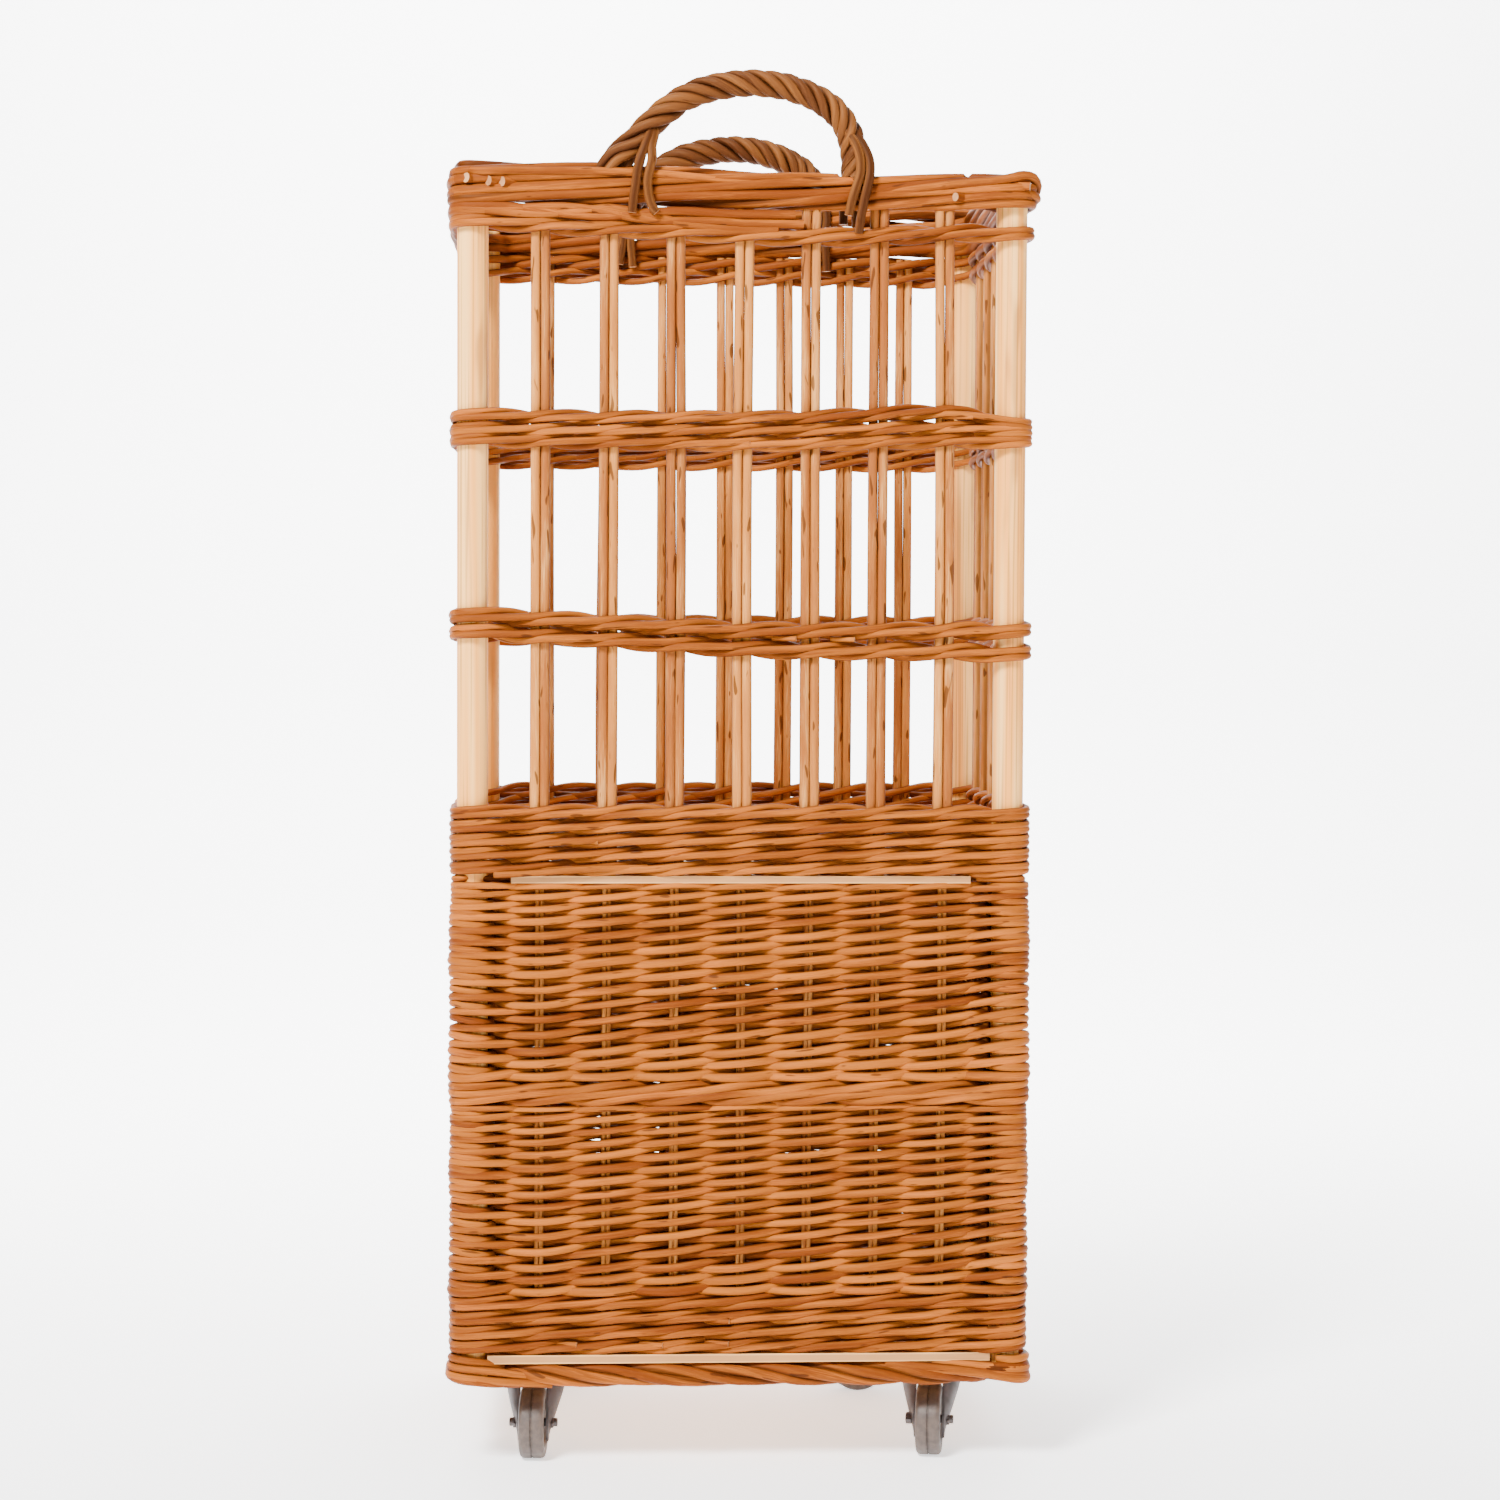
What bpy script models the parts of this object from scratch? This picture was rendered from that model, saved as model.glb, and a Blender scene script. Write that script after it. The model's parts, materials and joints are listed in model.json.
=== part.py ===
"""Baguette basket: a tall willow stand on four swivel casters, open at the top.

Units are metres and +Z is up. The front faces -Y and +X is on the right. The origin is on
the floor, under the middle of the basket. Four round corner posts carry two plywood boards.
Pairs of willow rods stand in slots along the boards' edges, and woven bands, with an eye
round each post, go round rods and posts. Two twisted handles straddle the top border.
"""

import math

import bmesh
import bpy
import numpy as np
from mathutils import Matrix, Vector

MM = 0.001

# Clearances
FIT = 0.3 * MM  # between pieces that touch
OVERRUN = 4 * MM  # how far a cutter runs past what it cuts
WELD = 0.002 * MM

# Corner posts
POST_RADIUS = 10.75 * MM
POST_SPACING_X = 372 * MM
POST_SPACING_Y = 280 * MM
POST_FOOT = 14.5 * MM  # reach below the underside of the base board
POST_HEAD = 14 * MM  # how far the top border stands over the post's end
POST_SIDES = 12

# Willow rods, in pairs
THICK_ROD = 3.35 * MM  # radius above the waist board
THIN_ROD = 1.6 * MM  # radius between the boards
ROD_SHOULDER = 16 * MM  # height over which a rod swells from thin to thick
STAKE_PITCH_X = 46.5 * MM
STAKE_PITCH_Y = 46.5 * MM
STAKES_X = 7
STAKES_Y = 5

# Boards
BASE_BOARD = 6 * MM
WAIST_BOARD = 5 * MM
BOARD_SETBACK = 1.5 * MM  # board edge behind the face of the weave
WAIST_NOTCH = 27 * MM  # square corner notch, from the post's centre

# Heights of the woven rounds and of the open stretches between them, from the floor up
CASTER_HEIGHT = 74.2 * MM
FOOT_BORDER = 17.5 * MM
BOTTOM_WALE = 40.5 * MM
LOWER_WEAVE = 132.5 * MM
MID_WALE = 17 * MM
UPPER_WEAVE = 137.2 * MM
WAIST_BAND = 48 * MM
LOWER_OPENING = 104 * MM
MIDDLE_BAND = 29 * MM
MIDDLE_OPENING = 111 * MM
UPPER_BAND = 27 * MM
UPPER_OPENING = 116 * MM
RIM_WALE = 10 * MM
RIM_OPENING = 14 * MM
TOP_BORDER = 31 * MM

# How far each round of weave stands out past the posts
WALL_WRAP = 3.5 * MM
WALL_SAG = 2.6 * MM  # how far the wall between two posts lies behind the wraps round them
WRAP_FLANK = 8 * MM  # from a post's centre along the wall to where the sag starts
WALE_WRAP = 4.2 * MM
BAND_WRAP = 4 * MM
BORDER_WRAP = 6 * MM
EYE_WRAP = 4 * MM  # inside the basket, round the back of a post
RIB_DEPTH = 1.3 * MM  # groove between two rods of a wale
CORNER_STEPS = 3

# Twisted handles
HANDLE_SPAN = 196 * MM  # outside, at the rim
HANDLE_RISE = 64 * MM  # top of the arch over the top border
HANDLE_OFFSET_X = 5 * MM
ROPE_RADIUS = 9 * MM
ROPE_GROOVE = 2 * MM
ROPE_LOBES = 5
ROPE_TURNS = 2.4
ROPE_STEPS = 30
ROPE_FOOT = 4 * MM  # straight start of the rope over the border
ARCH_FULLNESS = 2.3  # exponent of the arch: 2 is an ellipse
TAIL_ROD = 3 * MM  # radius of the rods that pass down over the border
TAIL_ROOT = 22 * MM  # height over the border where the tails leave the rope's middle
TAIL_ROOT_ROD = 1.4 * MM  # radius there
TAIL_SPREAD = 2 * MM  # between the rope's middle and a tail's root
TAIL_BEND = 7 * MM  # height over the border where the tail turns down
FRONT_TAIL = 35 * MM  # reach below the top of the border, outside
BACK_TAIL = 45 * MM  # the same, inside

# Casters
WHEEL_RADIUS = 25 * MM
WHEEL_WIDTH = 17.6 * MM
WHEEL_CHAMFER = 1.6 * MM
WHEEL_BULGE = 0.6 * MM  # the tyre's side over the rim of the web
HUB_RADIUS = 7.5 * MM
HUB_WIDTH = 19.2 * MM
WHEEL_SIDES = 16
TRAIL = 26 * MM
AXLE_RADIUS = 3 * MM
AXLE_HEAD_RADIUS = 5.5 * MM
AXLE_HEAD = 3.4 * MM
AXLE_SIDES = 8
SHEET = 2 * MM
LEG_FACE = 12 * MM  # outside of a fork leg, from the middle of the wheel
LEG_HALF_DEPTH = 7 * MM
LEG_BELOW_AXLE = 8 * MM
LEG_ABOVE_AXLE = 6 * MM
CROWN_HALF_WIDTH = 20 * MM
CROWN_FRONT = 17 * MM
CROWN_BACK = 14 * MM
CROWN_DROP = 6 * MM  # height of the bend between crown and leg
PLATE_SIDE = 42 * MM
RACE_RADIUS = 18 * MM
RACE_HEIGHT = 3.7 * MM
KINGPIN_RADIUS = 4 * MM
KINGPIN_HEAD_RADIUS = 6.5 * MM
KINGPIN_HEAD = 2 * MM
RACE_SIDES = 12
FRONT_INSET_X = 44.5 * MM  # from the post's centre line in to the kingpin's
FRONT_INSET_Y = 50.5 * MM
REAR_INSET_X = 60 * MM
REAR_INSET_Y = 55 * MM
HEADINGS = {"front_left": -4.5, "front_right": -10.0, "rear_left": 176.0, "rear_right": -70.0}

# Rods that show one over the other on the face of each round
FOOT_RIBS = 3
BOTTOM_WALE_RIBS = 5
MID_WALE_RIBS = 3
WAIST_BAND_RIBS = 6
OPEN_BAND_RIBS = 4
RIM_WALE_RIBS = 2
BORDER_RIBS = 4

# Angles in degrees. Edges that turn by more than a crease stay sharp in the shading
QUARTER_TURN = 90
ROUND_CREASE = 35
ROD_CREASE = 65
WEAVE_CREASE = 25
ROPE_CREASE = 50

# Colour, roughness and metallic value of each finish
FINISHES = {
    "willow": ((0.60, 0.27, 0.09), 0.5, 0.0),
    "peeled": ((0.70, 0.40, 0.20), 0.5, 0.0),
    "pine": ((0.84, 0.66, 0.40), 0.55, 0.0),
    "plywood": ((0.72, 0.54, 0.34), 0.6, 0.0),
    "steel": ((0.16, 0.14, 0.14), 0.35, 0.9),
    "rubber": ((0.30, 0.25, 0.23), 0.6, 0.0),
}

# Values that follow from the ones above
POST_X = POST_SPACING_X / 2
POST_Y = POST_SPACING_Y / 2
STAKE_LINE = POST_RADIUS - THICK_ROD  # from the post's centre line outwards
BASE_LOW = CASTER_HEIGHT + FIT
BASE_TOP = BASE_LOW + BASE_BOARD
WALL_LOW = BASE_TOP + FIT + BOTTOM_WALE + FIT
WAIST_LOW = WALL_LOW + LOWER_WEAVE + MID_WALE + UPPER_WEAVE + FIT
WAIST_TOP = WAIST_LOW + WAIST_BOARD
WAIST_BAND_TOP = WAIST_TOP + FIT + WAIST_BAND
MIDDLE_LOW = WAIST_BAND_TOP + LOWER_OPENING
UPPER_LOW = MIDDLE_LOW + MIDDLE_BAND + MIDDLE_OPENING
RIM_LOW = UPPER_LOW + UPPER_BAND + UPPER_OPENING
BORDER_LOW = RIM_LOW + RIM_WALE + RIM_OPENING
BORDER_TOP = BORDER_LOW + TOP_BORDER
ARCH_HALF_SPAN = HANDLE_SPAN / 2 - ROPE_RADIUS
ARCH_RISE = HANDLE_RISE - ROPE_FOOT - ROPE_RADIUS - FIT
AXLE_HEIGHT = WHEEL_RADIUS * math.cos(math.pi / WHEEL_SIDES)
RACE_LOW = CASTER_HEIGHT - SHEET - RACE_HEIGHT
CROWN_TOP = RACE_LOW - FIT


def clear_scene():
    for item in list(bpy.data.objects):
        bpy.data.objects.remove(item, do_unlink=True)


def new_collection(name):
    collection = bpy.data.collections.new(name)
    bpy.context.scene.collection.children.link(collection)
    return collection


def finish(name, kind):
    """A Principled material of its own for one piece."""
    colour, roughness, metallic = FINISHES[kind]
    material = bpy.data.materials.new(name + "_" + kind)
    material.use_nodes = True
    shader = material.node_tree.nodes["Principled BSDF"]
    shader.inputs["Base Color"].default_value = (*colour, 1.0)
    shader.inputs["Roughness"].default_value = roughness
    shader.inputs["Metallic"].default_value = metallic
    return material


def add_part(name, data, kind):
    data.materials.append(finish(name, kind))
    part = bpy.data.objects.new(name, data)
    parts.objects.link(part)
    return part


def add_cutter(name, data):
    cutter = bpy.data.objects.new(name, data)
    cutter.hide_render = True
    cutter.display_type = "WIRE"
    cutters.objects.link(cutter)
    return cutter


def cut(part, cutter, operation="DIFFERENCE"):
    boolean = part.modifiers.new(operation.lower() + "_" + cutter.name, "BOOLEAN")
    boolean.operation = operation
    boolean.solver = "EXACT"
    boolean.object = cutter


def smooth(part, crease):
    part.data.shade_smooth()
    part.data.set_sharp_from_angle(angle=math.radians(crease))


def mesh_from(bm, name):
    mesh = bpy.data.meshes.new(name)
    bmesh.ops.recalc_face_normals(bm, faces=bm.faces)
    bm.to_mesh(mesh)
    bm.free()
    return mesh


def curve_mesh(name, curve):
    """The mesh of a curve, with its caps welded on."""
    carrier = bpy.data.objects.new(name + "_curve", curve)
    cutters.objects.link(carrier)
    depsgraph = bpy.context.evaluated_depsgraph_get()
    mesh = bpy.data.meshes.new_from_object(carrier.evaluated_get(depsgraph))
    mesh.name = name
    bpy.data.objects.remove(carrier)
    bm = bmesh.new()
    bm.from_mesh(mesh)
    bmesh.ops.remove_doubles(bm, verts=bm.verts, dist=WELD)
    bmesh.ops.recalc_face_normals(bm, faces=bm.faces)
    bm.to_mesh(mesh)
    bm.free()
    return mesh


def outline_curve(name, points):
    """A closed flat outline through the points."""
    curve = bpy.data.curves.new(name, "CURVE")
    curve.dimensions = "2D"
    curve.fill_mode = "BOTH"
    spline = curve.splines.new("POLY")
    spline.points.add(len(points) - 1)
    for point, (x, y) in zip(spline.points, points):
        point.co = (x, y, 0, 1)
    spline.use_cyclic_u = True
    return curve


def loft(name, rings):
    """A closed solid through rings of the same number of points, with flat ends."""
    bm = bmesh.new()
    loops = [[bm.verts.new(point) for point in ring] for ring in rings]
    for below, above in zip(loops, loops[1:]):
        for i in range(len(below)):
            j = (i + 1) % len(below)
            bm.faces.new((below[i], below[j], above[j], above[i]))
    bm.faces.new(loops[0][::-1])
    bm.faces.new(loops[-1])
    return mesh_from(bm, name)


def prism(name, points, low, high):
    """An outline carried straight up from one height to another."""
    return loft(name, [[(x, y, z) for x, y in points] for z in (low, high)])


def turned(name, profile, sides, kind):
    """A profile of (radius, height) points, top to bottom, turned about its own Z."""
    mesh = bpy.data.meshes.new(name)
    points = [(radius, 0, height) for radius, height in profile]
    mesh.from_pydata(points, [(i, i + 1) for i in range(len(points) - 1)], [])
    part = add_part(name, mesh, kind) if kind else add_cutter(name, mesh)
    screw = part.modifiers.new("turn", "SCREW")
    screw.axis = "Z"
    screw.steps = sides
    screw.render_steps = sides
    screw.use_merge_vertices = True
    screw.merge_threshold = WELD
    return part


def arc(centre, radius, start, end, steps):
    """Points on an arc, from one angle in degrees to another, both ends included."""
    angles = np.radians(np.linspace(start, end, steps + 1))
    return [(centre[0] + radius * math.cos(a), centre[1] + radius * math.sin(a)) for a in angles]


def corners():
    """The four post centres, anticlockwise from the right rear one, with a start angle."""
    signs = ((1, 1), (-1, 1), (-1, -1), (1, -1))
    return [((sx * POST_X, sy * POST_Y), QUARTER_TURN * i) for i, (sx, sy) in enumerate(signs)]


def outer_outline(reach, panel=None):
    """A rectangle with rounded corners about the posts, the reach away from their centres.

    With a panel, the sides between the corners are only that far out.
    """
    points = []
    for centre, start in corners():
        corner = arc(centre, reach, start, start + QUARTER_TURN, CORNER_STEPS)
        if panel is not None:
            back, out = math.radians(start - QUARTER_TURN), math.radians(start)
            first = flank_point(centre, out, panel, back)
            last = flank_point(centre, out + math.pi / 2, panel, out + math.pi)
            corner = [first, *corner, last]
        points += corner
    return points


def flank_point(centre, out, panel, along):
    """A point of the wall's face, the flank's length along it from a post."""
    x = centre[0] + panel * math.cos(out) + WRAP_FLANK * math.cos(along)
    y = centre[1] + panel * math.sin(out) + WRAP_FLANK * math.sin(along)
    return x, y


def inner_outline(reach):
    """The inside of a round: in line with the posts, and bulging in round each of them."""
    points = []
    for centre, start in corners():
        inside = start + 2 * QUARTER_TURN
        points += arc(centre, reach, inside + QUARTER_TURN, inside, CORNER_STEPS)
    return points


def stake_places():
    """Name, place and turn of every pair of rods: front and rear, then left and right."""
    line_x = POST_X + STAKE_LINE
    line_y = POST_Y + STAKE_LINE
    places = []
    for side, y in (("front", -line_y), ("rear", line_y)):
        for i in range(STAKES_X):
            x = (i - (STAKES_X - 1) / 2) * STAKE_PITCH_X
            places.append((f"{side}_stakes_{i + 1}", (x, y), 0))
    for side, x in (("left", -line_x), ("right", line_x)):
        for i in range(STAKES_Y):
            y = (i - (STAKES_Y - 1) / 2) * STAKE_PITCH_Y
            places.append((f"{side}_stakes_{i + 1}", (x, y), QUARTER_TURN))
    return places


def pair_outline(rod):
    """Two six-sided rods side by side along X, fused where they touch."""
    shares = ((0, -0.5), (1, -1), (2, -0.5), (2, 0.5), (1, 1), (0, 0.5))
    shares += ((-1, 1), (-2, 0.5), (-2, -0.5), (-1, -1))
    return [Vector((rod * x, rod * y, 0)) for x, y in shares]


def post_holes(low, high):
    """Holes for the four posts, from low to high."""
    bm = bmesh.new()
    for centre, _ in corners():
        bmesh.ops.create_cone(
            bm, cap_ends=True, segments=POST_SIDES,
            radius1=POST_RADIUS + FIT, radius2=POST_RADIUS + FIT, depth=high - low,
            matrix=Matrix.Translation((*centre, (low + high) / 2)),
        )
    return bm


def opening_cutter(name, rod, low, high):
    """The holes for the posts and the slots for the pairs of rods, from low to high."""
    bm = post_holes(low, high)
    middle = (low + high) / 2
    for _, (x, y), turn in stake_places():
        size = Matrix.Diagonal((4 * rod + 2 * FIT, 2 * rod + 2 * FIT, high - low, 1))
        place = Matrix.Translation((x, y, middle)) @ Matrix.Rotation(math.radians(turn), 4, "Z")
        bmesh.ops.create_cube(bm, size=1, matrix=place @ size)
    return add_cutter(name, mesh_from(bm, name))


def build_posts():
    names = ("rear_right_post", "rear_left_post", "front_left_post", "front_right_post")
    low = BASE_LOW - POST_FOOT
    high = BORDER_TOP - POST_HEAD
    for name, (centre, _) in zip(names, corners()):
        bm = bmesh.new()
        bmesh.ops.create_cone(
            bm, cap_ends=True, segments=POST_SIDES,
            radius1=POST_RADIUS, radius2=POST_RADIUS, depth=high - low,
        )
        post = add_part(name, mesh_from(bm, name), "pine")
        post.location = (*centre, (low + high) / 2)
        smooth(post, ROUND_CREASE)


def build_stakes():
    """Thin between the boards, swelling to full thickness above the waist board."""
    top = BORDER_LOW - FIT
    levels = (
        (BASE_LOW, THIN_ROD),
        (WAIST_TOP + FIT, THIN_ROD),
        (WAIST_TOP + FIT + ROD_SHOULDER, THICK_ROD),
        (top, THICK_ROD),
    )
    for name, place, turn in stake_places():
        rings = [[p + Vector((0, 0, z)) for p in pair_outline(rod)] for z, rod in levels]
        pair = add_part(name, loft(name, rings), "peeled")
        pair.location = (*place, 0)
        pair.rotation_euler = (0, 0, math.radians(turn))
        smooth(pair, ROD_CREASE)


def notched_outline(notch):
    """A board's outline, with each corner cut away by the notch's points."""
    edge_x = POST_X + POST_RADIUS + WALL_WRAP - BOARD_SETBACK
    edge_y = POST_Y + POST_RADIUS + WALL_WRAP - BOARD_SETBACK
    points = []
    for sx, sy in ((1, 1), (-1, 1), (-1, -1), (1, -1)):
        first = (edge_x, POST_Y - notch[0][1])
        last = (POST_X - notch[-1][0], edge_y)
        corner = [first, *[(POST_X - x, POST_Y - y) for x, y in notch], last]
        if sx * sy < 0:
            corner.reverse()
        points += [(sx * x, sy * y) for x, y in corner]
    return points


def build_boards(thin_openings):
    """The base board hugs the posts, and the waist board has wide square notches."""
    round_notch = arc((0, 0), POST_RADIUS + FIT, QUARTER_TURN, 0, CORNER_STEPS)
    square_notch = [(WAIST_NOTCH, WAIST_NOTCH)]
    boards = (
        ("base_board", round_notch, BASE_LOW, BASE_TOP),
        ("waist_board", square_notch, WAIST_LOW, WAIST_TOP),
    )
    for name, notch, low, high in boards:
        board = add_part(name, prism(name, notched_outline(notch), low, high), "plywood")
        cut(board, thin_openings)


def ribbed_levels(low, high, ribs, crest):
    """Heights and reaches of a round of weave: a groove under, between and over its rods."""
    step = (high - low) / (2 * ribs)
    return [(low + i * step, crest - RIB_DEPTH * (1 - i % 2)) for i in range(2 * ribs + 1)]


def build_round(name, levels, hollow, openings=None):
    """One round of weave, from the heights of its outer face and its reaches there."""
    rings = [[(x, y, z) for x, y in outer_outline(*reaches)] for z, *reaches in levels]
    weave = add_part(name, loft(name, rings), "willow")
    cut(weave, hollow)
    cut(weave, openings)
    smooth(weave, WEAVE_CREASE)


def build_weave(hollow, posts_only, thin_openings, thick_openings):
    """All the rounds, from the floor up: name, levels of the outer face, and what passes through."""
    wall = POST_RADIUS + WALL_WRAP
    wale = POST_RADIUS + WALE_WRAP
    band = POST_RADIUS + BAND_WRAP
    border = POST_RADIUS + BORDER_WRAP
    foot_high = BASE_LOW - FIT
    bottom_low = BASE_TOP + FIT
    wale_low = WALL_LOW + LOWER_WEAVE
    wale_high = wale_low + MID_WALE
    waist_low = WAIST_TOP + FIT

    foot = ribbed_levels(foot_high - FOOT_BORDER, foot_high, FOOT_RIBS, wale)
    bottom = ribbed_levels(bottom_low, bottom_low + BOTTOM_WALE, BOTTOM_WALE_RIBS, wale)
    panel = wall - WALL_SAG
    middle_wale = [(z, reach, reach) for z, reach in ribbed_levels(wale_low, wale_high, MID_WALE_RIBS, wale)]
    middle_wale[0] = (wale_low, middle_wale[0][1], panel)
    middle_wale[-1] = (wale_high, middle_wale[-1][1], panel)
    wall_levels = [(WALL_LOW, wall, panel), *middle_wale, (wale_high + UPPER_WEAVE, wall, panel)]
    waist = ribbed_levels(waist_low, WAIST_BAND_TOP, WAIST_BAND_RIBS, band)
    middle = ribbed_levels(MIDDLE_LOW, MIDDLE_LOW + MIDDLE_BAND, OPEN_BAND_RIBS, band)
    upper = ribbed_levels(UPPER_LOW, UPPER_LOW + UPPER_BAND, OPEN_BAND_RIBS, band)
    rim = ribbed_levels(RIM_LOW, RIM_LOW + RIM_WALE, RIM_WALE_RIBS, band)
    top = ribbed_levels(BORDER_LOW, BORDER_TOP, BORDER_RIBS, border)
    rounds = (
        ("foot_border", foot, posts_only),
        ("bottom_wale", bottom, thin_openings),
        ("wall_weave", wall_levels, thin_openings),
        ("waist_band", waist, thick_openings),
        ("middle_band", middle, thick_openings),
        ("upper_band", upper, thick_openings),
        ("rim_wale", rim, thick_openings),
        ("top_border", top, posts_only),
    )
    for name, levels, openings in rounds:
        build_round(name, levels, hollow, openings)


def arch_points():
    """The middle line of a handle: a full arch on two short upright feet."""
    power = 2 / ARCH_FULLNESS
    points = [(ARCH_HALF_SPAN, 0, 0)]
    for angle in np.linspace(0, math.pi, ROPE_STEPS + 1):
        c = math.cos(angle)
        x = math.copysign(abs(c) ** power, c)
        z = max(math.sin(angle), 0) ** power
        points.append((ARCH_HALF_SPAN * x, 0, ROPE_FOOT + ARCH_RISE * z))
    return points + [(-ARCH_HALF_SPAN, 0, 0)]


def arch_reach(height):
    """How far out the arch's middle line is at a height over its straight feet."""
    share = (height - ROPE_FOOT) / ARCH_RISE
    return ARCH_HALF_SPAN * (1 - share ** ARCH_FULLNESS) ** (1 / ARCH_FULLNESS)


def rope_outline():
    """A round section with one lobe for each strand."""
    count = 2 * ROPE_LOBES
    points = []
    for i in range(count):
        radius = ROPE_RADIUS - ROPE_GROOVE * (i % 2)
        angle = math.tau * i / count
        points.append((radius * math.cos(angle), radius * math.sin(angle)))
    return points


def tail_rings(end, inner, outer, reach):
    """A pair of rods from the rope's middle at one end (-1 or 1), down a face of the border."""
    path = (
        ((end * arch_reach(TAIL_ROOT), inner, TAIL_ROOT), TAIL_ROOT_ROD),
        ((end * ARCH_HALF_SPAN, outer, TAIL_BEND), TAIL_ROD),
        ((end * ARCH_HALF_SPAN, outer, -reach), TAIL_ROD),
    )
    return [[Vector(place) + point for point in pair_outline(rod)] for place, rod in path]


def build_handle(name, side, section):
    """A twisted rope bent to an arch, with a pair of tails down each face of the border."""
    thickness = POST_RADIUS + BORDER_WRAP
    middle = POST_Y + thickness / 2
    face = thickness / 2 + FIT + TAIL_ROD

    curve = bpy.data.curves.new(name, "CURVE")
    curve.dimensions = "3D"
    curve.bevel_mode = "OBJECT"
    curve.bevel_object = section
    curve.use_fill_caps = True
    points = arch_points()
    spline = curve.splines.new("POLY")
    spline.points.add(len(points) - 1)
    for i, (point, place) in enumerate(zip(spline.points, points)):
        point.co = (*place, 1)
        point.tilt = math.tau * ROPE_TURNS * i / len(points)
    handle = add_part(name, curve_mesh(name, curve), "willow")
    handle.location = (HANDLE_OFFSET_X, side * middle, BORDER_TOP + FIT)

    for label, end in (("left", -1), ("right", 1)):
        for way, reach in ((side, FRONT_TAIL), (-side, BACK_TAIL)):
            rings = tail_rings(end, way * TAIL_SPREAD, way * face, reach)
            tail_name = f"{name}_{label}_{'outer' if way == side else 'inner'}_tail"
            tail = add_cutter(tail_name, loft(tail_name, rings))
            tail.location = handle.location
            cut(handle, tail, "UNION")
    smooth(handle, ROPE_CREASE)


def fork_sheet(name):
    """A pressed fork: a crown under the race and two legs that close in on the wheel."""
    axle_y = -TRAIL
    tip = AXLE_HEIGHT - LEG_BELOW_AXLE
    knee = AXLE_HEIGHT + LEG_ABOVE_AXLE
    bend = CROWN_TOP - CROWN_DROP
    near = axle_y - LEG_HALF_DEPTH
    far = axle_y + LEG_HALF_DEPTH
    fold = CROWN_HALF_WIDTH - SHEET
    leg = (
        ((LEG_FACE, near, tip), (LEG_FACE, far, tip)),
        ((LEG_FACE, near, knee), (LEG_FACE, far, knee)),
        ((LEG_FACE, -CROWN_FRONT, bend), (CROWN_HALF_WIDTH, CROWN_BACK, bend)),
        ((LEG_FACE - SHEET, -CROWN_FRONT, CROWN_TOP), (fold, CROWN_BACK, CROWN_TOP)),
    )
    rows = list(leg) + [tuple((-x, y, z) for x, y, z in row) for row in leg[::-1]]
    bm = bmesh.new()
    grid = [[bm.verts.new(point) for point in row] for row in rows]
    for (a, b), (c, d) in zip(grid, grid[1:]):
        bm.faces.new((a, b, d, c))
    mesh = bpy.data.meshes.new(name)
    bm.to_mesh(mesh)
    bm.free()
    return mesh


def build_caster(place, x, y, heading, bores):
    """Top plate with race and kingpin, fork, axle and wheel. The wheel trails behind the pin."""
    plate_name = f"{place}_caster_plate"
    half = PLATE_SIDE / 2
    square = [(half, half), (-half, half), (-half, -half), (half, -half)]
    sheet_metal = prism(plate_name, square, CASTER_HEIGHT - SHEET, CASTER_HEIGHT)
    plate = add_part(plate_name, sheet_metal, "steel")
    plate.location = (x, y, 0)
    head_high = CROWN_TOP - SHEET - FIT
    profile = [
        (0, CASTER_HEIGHT - SHEET / 2),
        (RACE_RADIUS, CASTER_HEIGHT - SHEET / 2),
        (RACE_RADIUS, RACE_LOW),
        (KINGPIN_RADIUS, RACE_LOW),
        (KINGPIN_RADIUS, head_high),
        (KINGPIN_HEAD_RADIUS, head_high),
        (KINGPIN_HEAD_RADIUS, head_high - KINGPIN_HEAD),
        (0, head_high - KINGPIN_HEAD),
    ]
    race = turned(f"{place}_caster_race", profile, RACE_SIDES, None)
    race.location = plate.location
    cut(plate, race, "UNION")

    swivel = bpy.data.objects.new(f"{place}_swivel", None)
    parts.objects.link(swivel)
    swivel.location = (x, y, 0)
    swivel.rotation_euler = (0, 0, math.radians(heading))

    fork = add_part(f"{place}_caster_fork", fork_sheet(f"{place}_caster_fork"), "steel")
    fork.parent = swivel
    sheet = fork.modifiers.new("sheet", "SOLIDIFY")
    sheet.thickness = SHEET
    sheet.offset = -1
    sheet.use_even_offset = True
    for bore in bores:
        holes = add_cutter(f"{place}_{bore.name}", bore)
        holes.parent = swivel
        cut(fork, holes)

    build_axle(place, swivel)
    build_wheel(place, swivel)


def build_axle(place, swivel):
    inner = LEG_FACE + FIT
    outer = inner + AXLE_HEAD
    half = [(0, outer), (AXLE_HEAD_RADIUS, outer), (AXLE_HEAD_RADIUS, inner), (AXLE_RADIUS, inner)]
    profile = half + [(radius, -height) for radius, height in half[::-1]]
    axle = turned(f"{place}_caster_axle", profile, AXLE_SIDES, "steel")
    axle.parent = swivel
    axle.location = (0, -TRAIL, AXLE_HEIGHT)
    axle.rotation_euler = (0, math.radians(QUARTER_TURN), 0)


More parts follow.
